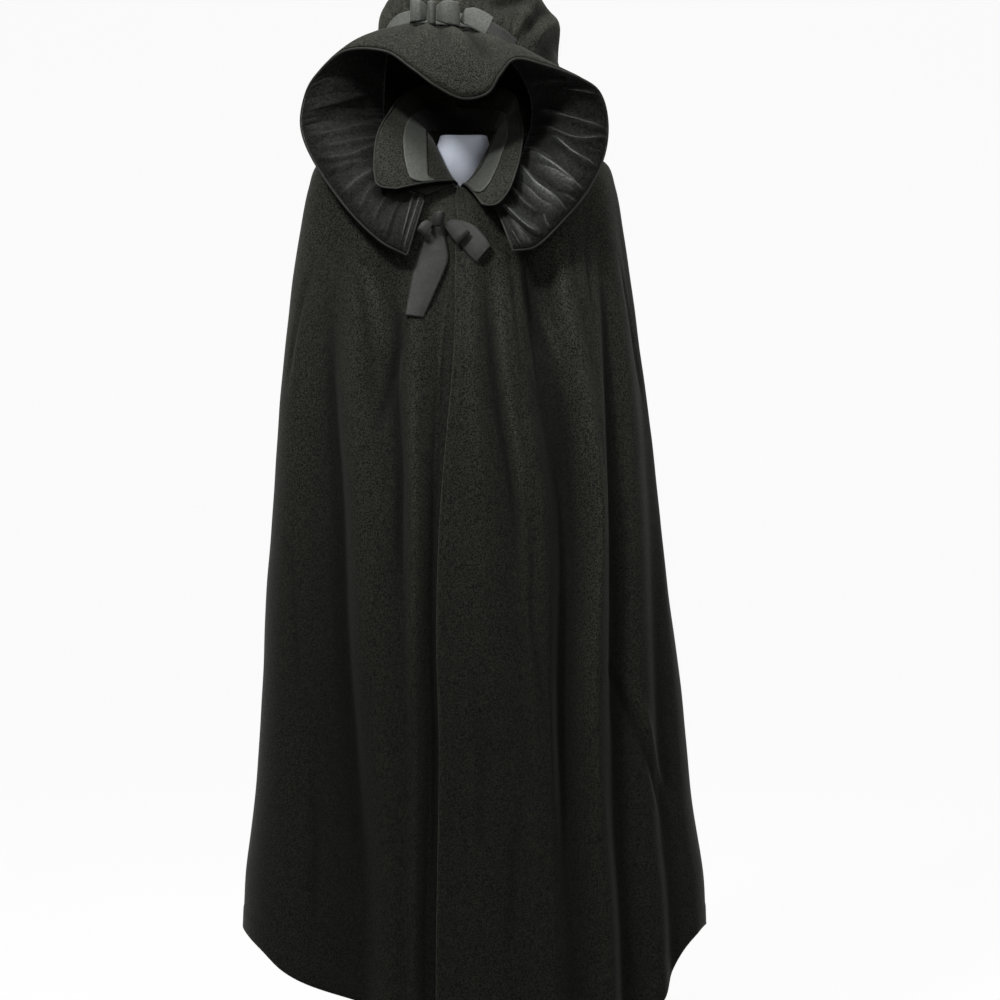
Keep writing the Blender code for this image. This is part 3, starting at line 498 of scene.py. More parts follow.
def make_grosgrain():
    ribbon = ClothFinish("ribbon")
    cloud = ribbon.noise(320, 3, 0.8)
    # The darker colour is black silk, kept dark as painted shade on the throat's loops; the paler
    # one is faded silk brightened as painted light on the hood's bow.
    unfaded_and_shaded = ribbon.two_tone(cloud, 0.36, (0.0035, 0.0038, 0.0032), 0.66, (0.0095, 0.0100, 0.0085))
    faded_and_lit = ribbon.two_tone(cloud, 0.36, (0.032, 0.034, 0.029), 0.66, (0.062, 0.065, 0.057))
    ribbon.shine(ribbon.mix(ribbon.wear(), unfaded_and_shaded, faded_and_lit), 0.52, 0.20, 0.05, 0.35)
    waves = {
        "Vector": ribbon.add("UVMap", "UV", {}, uv_map="pattern"),
        "Scale": WAVE_PERIOD / RIB_PERIOD,
        "Distortion": 0.15,
    }
    ribs = ribbon.add("TexWave", "Fac", waves, wave_type="BANDS", bands_direction="Y")
    ribbon.bumps((ribs, 0.0004, 0.55), (ribbon.noise(900), 0.0003, 0.25))


def make_satin_cord():
    cord = ClothFinish("piping")
    colour = cord.two_tone(cord.noise(55), 0.30, (0.011, 0.012, 0.010), 0.75, (0.021, 0.022, 0.018))
    cord.shine(colour, 0.58, 0.10, 0.04, 0.30)
    cord.bumps((cord.noise(420), 0.0005, 0.30))


def make_form_cloth():
    cover = ClothFinish("form_cloth")
    cloud = cover.noise(14, 4)
    # Darker below and paler at the top of the neck: painted shade on the lower form and painted
    # light on the neck's top, with some sun bleaching.
    plain = cover.two_tone(cloud, 0.30, (0.108, 0.115, 0.134), 0.75, (0.124, 0.132, 0.152))
    bleached_and_lit = cover.two_tone(cloud, 0.30, (0.470, 0.503, 0.577), 0.75, (0.522, 0.558, 0.638))
    colour = cover.mix(cover.fade(1.35, 1.42, cloud, 0.04), plain, bleached_and_lit)
    cover.shine(colour, 0.75, 0.3, 0.10, 0.5)
    cover.bumps((cover.noise(1000, stretch=(1.0, 1.0, 0.3)), 0.0004, 0.30))


def make_stand_metal():
    metal = ClothFinish("stand_metal")
    brushed = metal.noise(300, stretch=(1.0, 1.0, 0.02))
    colour = metal.two_tone(metal.noise(22, 3), 0.30, (0.42, 0.42, 0.41), 0.75, (0.52, 0.52, 0.51))
    metal.set(metal.shader, {
        "Base Color": colour,
        "Roughness": metal.map(brushed, 0.26, 0.44, 0.3, 0.7),
        "Metallic": 1.0,
    })
    metal.bumps((brushed, 0.0002, 0.25))


make_wool()
make_velvet()
make_grosgrain()
make_satin_cord()
make_form_cloth()
make_stand_metal()
print("finishes:", sorted(MATERIALS))

# %% [markdown]
# ## The cloak's own shape
#
# Heavy wool hung from the shoulders falls as a bell: rings that grow from the neck seam to the hem.
# The rings and the hem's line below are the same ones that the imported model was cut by. Steepness
# says how sharply a ring climbs from the front to the side.

# %% Rings, hem and folds
RING = "name half_width front back middle side_rise front_rise back_rise steepness"
CLOAK_RINGS = table(RING, [
    ("neck seam", 50, 62, 56, -2.5, 28, -47, 34, 2.8),
    ("collarbone", 108, 86, 86, -4, 26, -70, 18, 3.5),
    ("mid shoulder", 166, 98, 101, -4, 16, -92, -10, 2.8),
    ("shoulder tip", 210, 106, 109, -4, -3, -112, -45, 2.4),
    ("under tip", 220.5, 113, 114, -4.5, -34, -138, -85, 2),
    ("chest", 233.5, 121, 122, -4.8, -105, -180, -150, 2),
    ("bust", 247, 131, 131, -4.2, -200, -255, -240, 2),
    ("elbow", 264.5, 141, 141, -2.5, -341, -392, -382, 2),
    ("waist", 276.8, 150, 150, 1.2, -486, -539, -529, 2),
    ("hip", 290, 159, 158, 4, -631, -687, -675, 2),
    ("thigh", 301.5, 167, 165, 10.5, -776, -838, -824, 2),
    ("knee", 314, 175, 172, 12.2, -921, -993, -974, 2),
    ("calf", 327.5, 181, 177, 13.5, -1020, -1102, -1081, 2),
    ("hem", 331, 185, 180, 14, -1098, -1190, -1160, 2),
], mm=slice(1, 8))
# The hem's line: angle, and rise in millimetres.
HEM = [
    (-270, -1101), (-225, -1138), (-180, -1160), (-130, -1135), (-95, -1101), (-69, -1104),
    (-61, -1116), (-53, -1137), (-30, -1168), (-9, -1186), (30, -1195), (49, -1186),
    (56, -1152), (64, -1112), (90, -1099), (95, -1101),
]
# Folds of a panel from one side to the other: their angle at four levels, and how far each stands
# out or sinks in there.
FOLD = "name bust waist thigh calf bust_depth waist_depth thigh_depth calf_depth"
RIGHT_SIDE = ("right side", -93, -93, -93, -93, 0, 0, 0, 0)
LEFT_SIDE = ("left side", 93, 93, 93, 93, 0, 0, 0, 0)
RIGHT_FRONT_FOLDS = table(FOLD, [
    RIGHT_SIDE,
    ("side crest", -68, -66, -65, -64, 2, 4, 5, 6),
    ("wide trough", -48, -41, -35, -28, -6, -12, -14, -12),
    ("broad crest", -36, -29, -23, -19.5, 3, 6, 7, 6),
    ("short trough", -24, -19, -17.4, -16.4, -7, -6, -3, -1),
    ("lap crest", -14.5, -14, -14.2, -14, 4, 5, 5, 4),
    ("lap trough", -5.5, -9.3, -10.6, -11.2, -6, -9, -11, -12),
    ("under edge", 2.6, 1.6, 0.3, -0.8, -1, -1, -1, -1),
], mm=slice(5, 9))
LEFT_FRONT_FOLDS = table(FOLD, [
    ("front edge", -1.6, -6.8, -7.8, -8.3, 1, 1, 1, 1),
    ("flat of the front", 3.5, 5, 4, 4, 2, 2, 2, 2),
    ("sharp trough", 8.9, 13.6, 14.5, 13.5, -7, -6, -1, 1),
    ("narrow crest", 15, 17.4, 17, 16, 3, 6, 5, 3),
    ("inner crest", 19, 22.5, 21, 19.5, 2, 4, 3, 3),
    ("deep trough", 24, 31, 25.4, 25.6, -12, -20, -18, -12),
    ("main crest", 40, 41, 34, 34, 10, 16, 17, 14),
    ("dark trough", 55, 50, 42.5, 40, -4, -10, -12, -12),
    ("outer crest", 65, 60, 53, 51, 2, 5, 6, 8),
    ("shallow trough", 77, 73, 62, 58, -2, -3, -7, -6),
    ("edge crest", 85, 84, 72, 70, 1, 2, 4, 6),
    LEFT_SIDE,
], mm=slice(5, 9))
BACK_FOLDS = table(FOLD, [
    ("right side", -267, -267, -267, -267, 0, 0, 0, 0),
    ("left side trough", -251, -252, -253, -254, -4, -8, -9, -10),
    ("left blade crest", -235, -236, -238, -239, 5, 11, 13, 13),
    ("left blade trough", -222, -222, -221, -222, -8, -14, -14, -13),
    ("left middle crest", -208, -205, -203, -202, 5, 10, 13, 13),
    ("centre trough", -192, -190, -188, -187, -9, -15, -17, -16),
    ("centre crest", -178, -175, -174, -172, 6, 10, 10, 10),
    ("right middle trough", -161, -160, -158, -155, -7, -13, -14, -13),
    ("right blade crest", -145, -143, -141, -140, 5, 12, 14, 14),
    ("right blade trough", -129, -127, -125, -124, -6, -10, -11, -11),
    ("right side crest", -113, -111, -110, -109, 3, 5, 6, 6),
    RIGHT_SIDE,
], mm=slice(5, 9))
LAP_START_ANGLE = 5.0
LAP_END_ANGLE = 16.0


def ring_points(numbers, angles):
    """Places on rings, whose numbers are the fields in RING after the name."""
    turn = np.radians(angles)
    facing = np.cos(turn)
    half, front, back, middle, side, low_front, low_back, steepness = np.moveaxis(numbers, -1, 0)
    depth = np.where(facing > 0, front, back)
    dip = np.where(facing > 0, low_front, low_back)
    rise = side + (dip - side) * np.abs(facing) ** steepness
    return raised(np.stack([middle + half * np.sin(turn), -depth * facing, rise], axis=-1))


# Length of cloth from the neck seam to each ring, down the side.
REACH = travelled([ring_points(np.array(ring[1:]), 90.0) for ring in CLOAK_RINGS])
REACH_OF = {ring.name: reach for ring, reach in zip(CLOAK_RINGS, REACH)}
CLOAK = Track(REACH, [ring[1:] for ring in CLOAK_RINGS])
HEM_LINE = Track([angle for angle, _ in HEM], [[rise / 1000] for _, rise in HEM])
LEVELS = ("neck seam", "mid shoulder", "shoulder tip", "bust", "waist", "thigh", "calf", "hem")
print("side length from neck to hem:", round(float(REACH[-1]), 3), "m")

# %% The hanging cloth
# Degrees between the columns of a panel: near the middle of the front and elsewhere.
FINE_COLUMN = 0.36
FINE_HALF = 24
COLUMN = 0.80


def cloth_outward(reach, angle):
    """The direction square to the hanging cloth, out of the cloak."""
    low, high = np.maximum(reach - 0.001, 0.0), np.minimum(reach + 0.001, REACH[-1])
    down = ring_points(CLOAK.at(high), angle) - ring_points(CLOAK.at(low), angle)
    ring = CLOAK.at(reach)
    around = ring_points(ring, angle + 1) - ring_points(ring, angle - 1)
    return unit(np.cross(down, around))


def cloth_point(reach, angle, depth=0.0):
    """A point on the outside of the cloak, with a fold's depth added."""
    reach, angle = both(reach, angle)
    points = ring_points(CLOAK.at(reach), angle)
    near_hem = soft_step((reach - REACH_OF["knee"]) / (REACH[-1] - REACH_OF["knee"]))
    plain_hem = ring_points(np.array(CLOAK_RINGS[-1][1:]), angle)[..., 2]
    points[..., 2] += (NECK_HEIGHT + HEM_LINE.at(angle)[..., 0] - plain_hem) * near_hem
    return points + cloth_outward(reach, angle) * np.asarray(depth)[..., None]


def fold_track(fold, neck_angle):
    """A fold's angle and depth, read by the length of cloth from the neck."""
    rows = [
        (neck_angle, 0.0),
        (fold.bust, 0.0),
        (fold.bust, 0.25 * fold.bust_depth),
        (fold.bust, fold.bust_depth),
        (fold.waist, fold.waist_depth),
        (fold.thigh, fold.thigh_depth),
        (fold.calf, fold.calf_depth),
        (fold.calf, fold.calf_depth),
    ]
    return Track([REACH_OF[name] for name in LEVELS], rows)


def panel_grid(folds, neck_angles, rows):
    """The angle and fold depth at every row and column, closer together near the front edges."""
    reach = np.linspace(0.0, REACH[-1], rows)
    tracks = np.stack(
        [fold_track(fold, angle).at(reach) for fold, angle in zip(folds, neck_angles)], axis=1
    )
    angles, depths = [], []
    for left in range(len(folds) - 1):
        gap = abs(folds[left + 1].waist - folds[left].waist)
        middle = (folds[left + 1].waist + folds[left].waist) / 2
        steps = max(6, round(gap / (FINE_COLUMN if abs(middle) < FINE_HALF else COLUMN)))
        place = np.arange(steps + (left == len(folds) - 2)) / steps
        start, end = tracks[:, left, None, :], tracks[:, left + 1, None, :]
        angles.append(start[..., 0] + (end[..., 0] - start[..., 0]) * place)
        depths.append(start[..., 1] + (end[..., 1] - start[..., 1]) * soft_step(place))
    return reach[:, None], np.hstack(angles), np.hstack(depths)


print("cloth at the front of the hem:", np.round(cloth_point(REACH[-1], 0.0), 3))

# %% [markdown]
# ## Creases
#
# The broad folds come from the panels' cut. On top of them the cloth has its own creases, where it
# was folded away, sat on or pulled by the clasp. Each row below is one of them: its width and its
# depth, in (-) or out (+), and the places it runs through, as metres below the neck seam and angle.
# They start and end softly, and the second map follows them: painted shade darkens each crease, and
# a painted highlight with rubbed nap lightens each ridge. The back's are spread unevenly.

# %% Crease table
CREASES = table("name width depth path", [
    ("sharp line by the edge", 4, -5, [(0.14, 9.5), (0.25, 9.5), (0.35, 11), (0.44, 13.5),
        (0.52, 15), (0.62, 14)]),
    ("lit side of it", 6, 3, [(0.15, 13), (0.25, 13), (0.35, 14.5), (0.44, 17), (0.53, 18)]),
    ("flat before it", 12, 1.5, [(0.16, 4.5), (0.3, 4), (0.5, 6.5)]),
    ("thin line a", 3.2, -3.4, [(0.13, 17.5), (0.2, 18), (0.28, 19), (0.36, 20.5)]),
    ("thin ridge a", 3.6, 2.2, [(0.13, 20.5), (0.2, 21), (0.28, 22.5), (0.36, 24.5)]),
    ("deep fold's start", 5.5, -5.5, [(0.115, 23), (0.17, 24), (0.24, 25.5), (0.3, 29)]),
    ("deep fold's floor", 12, -5, [(0.2, 25), (0.25, 26.5), (0.31, 30), (0.37, 33), (0.44, 32.5),
        (0.53, 31), (0.85, 24.5), (1.03, 26.5)]),
    ("nick over the fold", 4.5, 3, [(0.22, 28.5), (0.26, 30.5), (0.31, 34)]),
    ("thin line b", 3.4, -3.6, [(0.09, 43), (0.14, 41.5), (0.2, 42), (0.27, 43.5), (0.34, 45)]),
    ("soft ridge b", 7, 2.6, [(0.1, 36), (0.18, 36), (0.3, 38)]),
    ("thin line c", 3.6, -2.6, [(0.09, 50), (0.15, 48.5), (0.24, 48)]),
    ("thin line d", 4, -2.4, [(0.14, 32), (0.2, 31.5), (0.26, 32.5)]),
    ("second small fold", 5, -3.4, [(0.47, 19), (0.55, 19.5), (0.66, 18.5), (0.73, 19.5),
        (0.83, 20.5)]),
    ("outer fold's floor", 11, -5, [(0.09, 60), (0.2, 56.5), (0.35, 52), (0.49, 49.5),
        (0.63, 46.5), (0.76, 42.5), (0.92, 40.5)]),
    ("sharp rim of the outer fold", 6, 3.6, [(0.08, 54), (0.2, 51.5), (0.35, 47.5), (0.49, 45.5),
        (0.6, 43)]),
    ("slanting fold", 8, -4.6, [(0.69, 41), (0.8, 49), (0.94, 58.5)]),
    ("crest beside it", 10, 3, [(0.72, 48), (0.82, 55), (0.94, 64)]),
    ("lit ridge", 9, 3.2, [(0.18, 38), (0.35, 41), (0.49, 42.5), (0.62, 38), (0.76, 33.5),
        (1, 35)]),
    ("right pull", 8, -4, [(0.19, -25), (0.25, -19.5), (0.33, -22.5), (0.42, -28)]),
    ("right small fold", 7, -6, [(0.18, -22.5), (0.272, -20.8), (0.348, -20.2), (0.43, -18.5),
        (0.54, -18.6), (0.66, -18.4)]),
    ("right ridge", 8, 3, [(0.22, -14.5), (0.4, -14), (0.6, -13.5), (0.8, -14)]),
    ("right slanting pull", 7, -3.6, [(0.15, -40), (0.22, -34), (0.31, -29.5), (0.4, -28)]),
    ("ridge above the pull", 9, 2.8, [(0.15, -34), (0.22, -28.5), (0.3, -25)]),
    ("wide fold's floor", 14, -7, [(0.16, -52), (0.48, -40), (0.62, -37.5), (0.76, -35),
        (0.9, -31.5), (1.05, -28)]),
    ("wide fold's ridge", 12, 1.2, [(0.2, -41), (0.46, -33), (0.62, -30.5), (0.8, -27)]),
    ("gap under the edge", 3.8, -5, [(0.17, -3.6), (0.3, -5.8), (0.48, -8.4), (0.75, -9.1),
        (1.08, -9.7)]),
    ("pressed line by the edge", 1.8, 2.8, [(0.17, -3.1), (0.27, -5.9), (0.37, -7), (0.46, -8.4),
        (0.52, -9)]),
    ("right hip crease", 9, -3, [(0.52, -62), (0.66, -56), (0.8, -54)]),
    ("right chest crease", 9, -2.6, [(0.12, -58), (0.22, -66), (0.34, -70)]),
    ("left chest crease", 9, -2.4, [(0.12, 70), (0.22, 74), (0.36, 78)]),
    ("low right crease", 7, -3.2, [(0.86, -48), (0.98, -44), (1.12, -43)]),
    ("low left crease", 7, -3, [(0.9, 12), (1.02, 10), (1.14, 8)]),
    ("low middle crease", 6, -2.4, [(0.74, 2), (0.86, 3), (1, 1)]),
    ("back pull a", 8, -3.8, [(0.12, -196), (0.3, -192), (0.52, -188), (0.66, -184)]),
    ("back fold a", 9, -4.4, [(0.2, -221), (0.42, -223), (0.7, -219), (1.02, -222)]),
    ("back fold b", 6, -3.6, [(0.36, -207), (0.5, -212), (0.68, -213)]),
    ("back fold c", 8, -4.2, [(0.18, -163), (0.4, -160), (0.72, -157), (1, -153)]),
    ("back fold d", 7, -3.6, [(0.58, -143), (0.72, -135), (0.9, -127)]),
    ("back fold e", 9, -3.2, [(0.14, -130), (0.34, -127), (0.6, -128), (0.78, -124)]),
    ("back fold f", 7, -3.4, [(0.74, -240), (0.86, -247), (1.02, -250)]),
    ("back ridge a", 9, 2.8, [(0.24, -206), (0.5, -203), (0.84, -202)]),
    ("back ridge b", 9, 2.8, [(0.3, -143), (0.56, -144), (0.9, -140)]),
    ("back thin line a", 3.6, -3, [(0.13, -212), (0.2, -210), (0.3, -211)]),
    ("back thin line b", 3.6, -3, [(0.12, -178), (0.19, -177), (0.3, -179)]),
    ("back thin line c", 3.6, -2.8, [(0.13, -150), (0.22, -151), (0.33, -150)]),
    ("back thin line d", 3.6, -2.6, [(0.14, -235), (0.22, -234), (0.32, -236)]),
    ("left under the arm", 8, -3, [(0.18, 88), (0.3, 86), (0.44, 87)]),
    ("right under the arm", 8, -3, [(0.16, -88), (0.32, -85), (0.5, -86)]),
], mm=slice(1, 3))


UNEVENNESS = 0.0010
# How a path fades at its start and at its end: the share of it that fades, and its head start.
CREASE_ENDS = (0.30, 0.0, 0.30, 0.0)
# Metres of a crease's depth that change the second map by 1, as painted shade in a crease and as
# painted highlight with rubbing on a ridge, and what a ridge's steepness adds to that as painted
# highlight with rubbing.
CREASE_WEAR_AND_SHADE = 0.013
STEEP_WEAR_AND_HIGHLIGHT = 0.35


def follow(path, key, ends):
    """Where a path of (key, place) rows is at each key, and its strength there, 0 to 1."""
    keys, places = np.array(path, dtype=float).T
    length = keys[-1] - keys[0]
    start = soft_step((key - keys[0]) / (ends[0] * length) + ends[1])
    end = soft_step((keys[-1] - key) / (ends[2] * length) + ends[3])
    return Track(keys, places[:, None]).at(key)[..., 0], start * end


def crease_cloth(points, angle):
    """What all the creases add to the cloth's depth at each point, and to its second map: painted
    shade in creases, painted highlight with rubbing on ridges.
    """
    from_middle = np.hypot(points[..., 0], 1.6 * points[..., 1])
    total, worn_and_shaded = np.zeros_like(angle), np.zeros_like(angle)
    for crease in CREASES:
        centre, strength = follow(crease.path, NECK_HEIGHT - points[..., 2], CREASE_ENDS)
        shape = strength * soft_bump(np.radians(angle - centre) * from_middle, crease.width)
        total += crease.depth * shape
        steepness = max(crease.depth / crease.width, 0.0)
        # Painted shade in a crease, painted highlight with rubbed nap on a ridge.
        worn_and_shaded += shape * (crease.depth / CREASE_WEAR_AND_SHADE + STEEP_WEAR_AND_HIGHLIGHT * steepness)
    return total, worn_and_shaded


def cloth_life(points):
    """Slow unevenness that all hanging wool has, nearly all of it outward."""
    x, y, z = np.moveaxis(points, -1, 0)
    slow = waver(9 * x + 5 * z, 1.0) + waver(11 * y - 4 * z, 2.0) + waver(14 * z + 6 * x, 3.0)
    return UNEVENNESS * (1.2 + 0.6 * slow)


print("creases:", len(CREASES))

# %% [markdown]
# ## The three panels
#
# A maker cuts a cloak as a back and two fronts, sews them at the sides, turns up the hem and faces
# the front edges. The left front laps over the right one. Each panel is one sheet that ends at the
# side seam, where the cloth dips into a shallow pressed groove. The turned hem and the faced edge
# are doubled cloth, so they stand a little thicker.

# %% Panels
EDGE_TURN = 0.011
EDGE_ROLL = 0.0024
HEM_TURN = 0.030
SEAM_GROOVE = 0.0035
TURN_LIFT = 0.0009
EDGE_LIFT = 0.0024
GROOVE_DEPTH = 0.0016
# Metres of a fold's depth that change the second map by 1, in as painted shade and out as painted
# highlight with rubbing, and what a faced edge adds: a painted highlight along it, with its rubbing.
TROUGH_SHADE = 0.036
CREST_WEAR_AND_HIGHLIGHT = 0.070
EDGE_WEAR_AND_HIGHLIGHT = 0.90
# Metres over which the turned edge and hem rise, and the creases begin below the shoulder.
EDGE_STEP = 0.0035
HEM_STEP = 0.004
CREASE_START = 0.01
CREASE_STEP = 0.04


def make_panel(name, folds, neck_angles, trims, rows, free_edge, lap_lift=0.0):
    """A panel: trims are metres held back at each side, free_edge the side with a faced edge."""
    reach, angles, depths = panel_grid(folds, neck_angles, rows)
    start, end = angles[:, :1], angles[:, -1:]
    trim_start, trim_end = (np.degrees(trim / CLOAK.at(reach)[..., 2]) for trim in trims)
    share = (angles - start) / (end - start)
    angles = start + trim_start + share * (end - trim_end - start - trim_start)
    plain = cloth_point(reach, angles)
    lap = soft_step((angles - LAP_START_ANGLE) / (LAP_END_ANGLE - LAP_START_ANGLE))
    below_shoulder = soft_step((reach - REACH_OF["mid shoulder"] - CREASE_START) / CREASE_STEP)
    creases, worn_and_shaded = crease_cloth(plain, angles)
    # Painted shade in troughs and creases and painted highlight on crests and ridges, with real
    # rubbing, all go into one map.
    wear = 0.5 + worn_and_shaded * below_shoulder + depths / np.where(depths < 0, TROUGH_SHADE, CREST_WEAR_AND_HIGHLIGHT)
    depths = depths + lap_lift * (1 - lap) + creases * below_shoulder + cloth_life(plain)
    along = travelled(plain, axis=1)
    for side, distance in (("start", along), ("end", along[:, -1:] - along)):
        if side == free_edge:
            edge = soft_bump(distance, EDGE_ROLL)
            turned = soft_step(1 - (distance - EDGE_TURN) / EDGE_STEP)
            depths += TURN_LIFT * turned + EDGE_LIFT * edge
            # A painted highlight along the faced edge, with its rubbing.
            wear += EDGE_WEAR_AND_HIGHLIGHT * edge
        else:
            depths -= GROOVE_DEPTH * soft_bump(distance, SEAM_GROOVE)
    depths += TURN_LIFT * soft_step((reach - (REACH[-1] - HEM_TURN)) / HEM_STEP)
    points = plain + cloth_outward(reach, angles) * depths[..., None]
    print(name, "grid", points.shape[:2], "about", pattern_size(points), "m")
    return add_sheet(name, points, WOOL, -1, ["cloak_" + name], "wool", wear=wear)


SIDE_TRIM = 0.00006
FRONT_ROWS = 240
BACK_ROWS = 210
right_neck = list(np.linspace(-93, -9, len(RIGHT_FRONT_FOLDS) - 1)) + [-3]
left_neck = [-8] + list(np.linspace(-1, 93, len(LEFT_FRONT_FOLDS) - 1))
back_neck = list(np.linspace(-267, -93, len(BACK_FOLDS)))
right_front = make_panel(
    "right_front", RIGHT_FRONT_FOLDS, right_neck, (SIDE_TRIM, 0), FRONT_ROWS, "end"
)
left_front = make_panel(
    "left_front", LEFT_FRONT_FOLDS, left_neck, (0, SIDE_TRIM), FRONT_ROWS, "start", WOOL + LAP_GAP
)
back = make_panel("back", BACK_FOLDS, back_neck, (SIDE_TRIM, SIDE_TRIM), BACK_ROWS, "none")

# %% [markdown]
# ## The ruffle's two cloths
#
# Round the face runs a deep ruffle: wool outside, velvet inside, a satin cord round the edge. It is
# drawn from sections, each with a place on its seam, one on its edge and a belly between. Over the
# crown it is so deep that it falls forward, and there the wool side shows.

# %% Ruffle sections
RUFFLE = table("name seam_x seam_y seam_rise edge_x edge_y edge_rise belly_forward belly_up", [
    ("right end", -56, -101, -64, -78, -136, -147, 8, 0),
    ("right throat", -86, -94, -50, -114, -132, -127, 10, 0),
    ("right collarbone", -103, -76, -19, -158, -118, -83, 14, 0),
    ("right jaw", -114, -56, 14, -205, -88, -16, 22, 0),
    ("right cheek", -117, -34, 53, -228, -66, 37, 26, 0),
    ("right temple", -118, -20, 97, -224, -70, 79, 26, 2),
    ("right brow", -116, -15, 134, -205, -85, 110, 20, 8),
    ("right rise", -111, -18, 165, -165, -105, 140, 14, 12),
    ("right crown", -93, -28, 184, -108, -122, 136, 12, 14),
    ("crown a", -66, -40, 187, -70, -138, 109, 16, 18),
    ("crown b", -39, -48, 183, -38, -145, 84, 18, 22),
    ("crown c", -9, -50, 180, -1, -145, 66, 20, 25),
    ("crown d", 19, -48, 175, 33, -145, 73, 18, 22),
    ("crown e", 44, -42, 165, 51, -150, 98, 14, 18),
    ("left crown", 62, -36, 151, 72, -150, 118, 12, 14),
    ("left rise", 79, -30, 131, 112, -140, 112, 14, 12),
    ("left brow", 92, -27, 105, 157, -130, 97, 18, 6),
    ("left temple", 98, -30, 81, 187, -112, 79, 24, 2),
    ("left cheek", 97, -36, 51, 199, -98, 42, 26, 0),
    ("left jaw", 89, -52, 21, 194, -100, -5, 24, 0),
    ("left collarbone", 79, -74, -10, 171, -115, -56, 18, 0),
    ("left chest", 68, -90, -35, 133, -130, -103, 12, 0),
    ("left throat", 58, -99, -55, 99, -140, -136, 10, 0),
    ("left end", 45, -106, -73, 70, -142, -142, 8, 0),
], mm=slice(1, 9))
RUFFLE_TRACK = Track(range(len(RUFFLE)), [section[1:] for section in RUFFLE])
LAST_STATION = len(RUFFLE) - 1


def ruffle_middle(station, out):
    """The surface between the ruffle's two cloths, out from seam (0) to edge (1)."""
    station, out = both(station, out)
    values = RUFFLE_TRACK.at(station)
    seam, edge = raised(values[..., 0:3]), raised(values[..., 3:6])
    belly = np.stack([np.zeros_like(station), -values[..., 6], values[..., 7]], axis=-1)
    handle = (seam + edge) / 2 + 2 * belly
    out = out[..., None]
    return seam * (1 - out) ** 2 + handle * (2 * out * (1 - out)) + edge * out**2


def square_to(surface, first, second, step=0.02, last=LAST_STATION):
    """The direction square to a surface, whose first number runs to last and its second to 1."""
    before, after = np.maximum(first - step, 0.0), np.minimum(first + step, last)
    low, high = np.maximum(second - 0.02, 0.0), np.minimum(second + 0.02, 1.0)
    along = surface(after, second) - surface(before, second)
    across = surface(first, high) - surface(first, low)
    return unit(np.cross(along, across))


def even_stations(count, out=0.6):
    """Stations evenly spaced along the ruffle, at one distance out from its seam."""
    fine = np.linspace(0, LAST_STATION, 1200)
    lengths = travelled(ruffle_middle(fine, out))
    return np.interp(np.linspace(0, lengths[-1], count), lengths, fine)


edge_length = travelled(ruffle_middle(even_stations(900), 1.0))[-1]
print("ruffle's edge in m:", round(float(edge_length), 3))

# %% [markdown]
# ## Gathers and puckers
#
# A gathered cloth stands up in round ridges with narrow valleys between, crowded at the seam and
# opening towards the edge. No two are alike: some run right across, some die halfway or fork. The
# ridge below is the square root of a cosine's arch, which has just that section. Its phase is bent
# by a slow waver, so the spacing is uneven. The velvet's big puckers are placed one by one, since
# they differ most.

# %% Ridges
def ridges(place, seed, unevenness=0.45):
    """Round ridges with narrow valleys between, 0 to 1, one for each whole step of place."""
    bent = place + unevenness * waver(0.55 * place, seed)
    return np.sqrt(np.abs(np.cos(math.pi * bent)))


def ridge_height(place, seed):
    """How tall each ridge is beside its neighbours, 0.35 to 1."""
    return 0.68 + 0.32 * waver(1.7 * place, seed)


PUCKERS = 39
RIM_PUCKERS = 92
SEAM_PUCKERS = 120
PUCKER_HEIGHT = 0.0019
RIM_HEIGHT = 0.0011
SEAM_HEIGHT = 0.0010
MOST_PUFF = 0.0130
RUFFLE_GATHERS = 46
GATHER_HEIGHT = 0.0038
# Metres from one section to the next, at the ruffle's seam and at its edge.
SEAM_SECTION = 0.0315
EDGE_SECTION = 0.0480
WOOL_GRID = (560, 22)
VELVET_GRID = (1120, 40)
# The wool's value in the second map where it lies plain, and the metres of gather and of fold that
# change it by 1: gathers lighten it as painted highlight with rubbing, folds darken it as painted
# shade, and lighten it where they stand the other way.
PLAIN_WEAR_AND_SHADING = 0.42
GATHER_WEAR_AND_HIGHLIGHT = 0.009
FOLD_SHADING = 0.012
FOLD_ENDS = (0.45, 0.3, 0.45, 0.2)
RIDGE_ENDS = (0.30, 0.3, 0.30, 0.2)
# Folds of both cloths together: width in sections, depth towards the velvet side, and the places
# they run through, as share of the way out and section.
RUFFLE_FOLDS = table("name width depth path", [
    ("dark fold of the crown", 0.34, 5.5, [(0.06, 11.2), (0.4, 11.6), (0.78, 12.3)]),
    ("crown ridge beside it", 0.32, -3, [(0.06, 12), (0.4, 12.5), (0.76, 13)]),
    ("crown ridge a", 0.26, -3.2, [(0.06, 10.6), (0.36, 10.8), (0.7, 11.2)]),
    ("crown fold b", 0.22, 3, [(0.06, 10.1), (0.34, 10.2), (0.66, 10.3)]),
    ("crown ridge c", 0.24, -2.8, [(0.06, 9.6), (0.34, 9.6), (0.64, 9.5)]),
    ("crown fold d", 0.24, 2.6, [(0.06, 9.1), (0.34, 9), (0.7, 8.7)]),
    ("left crown fold", 0.26, 3, [(0.06, 13.6), (0.36, 13.8), (0.66, 13.9)]),
    ("left lobe roll", 0.4, 3, [(0.1, 16.8), (0.5, 16.9), (0.92, 16.9)]),
    ("right lobe roll", 0.5, 3, [(0.1, 5.4), (0.5, 5.2), (0.9, 5)]),
    ("right lobe hollow", 0.45, -3, [(0.1, 4.4), (0.5, 4.2), (0.9, 4)]),
], mm=slice(2, 3))
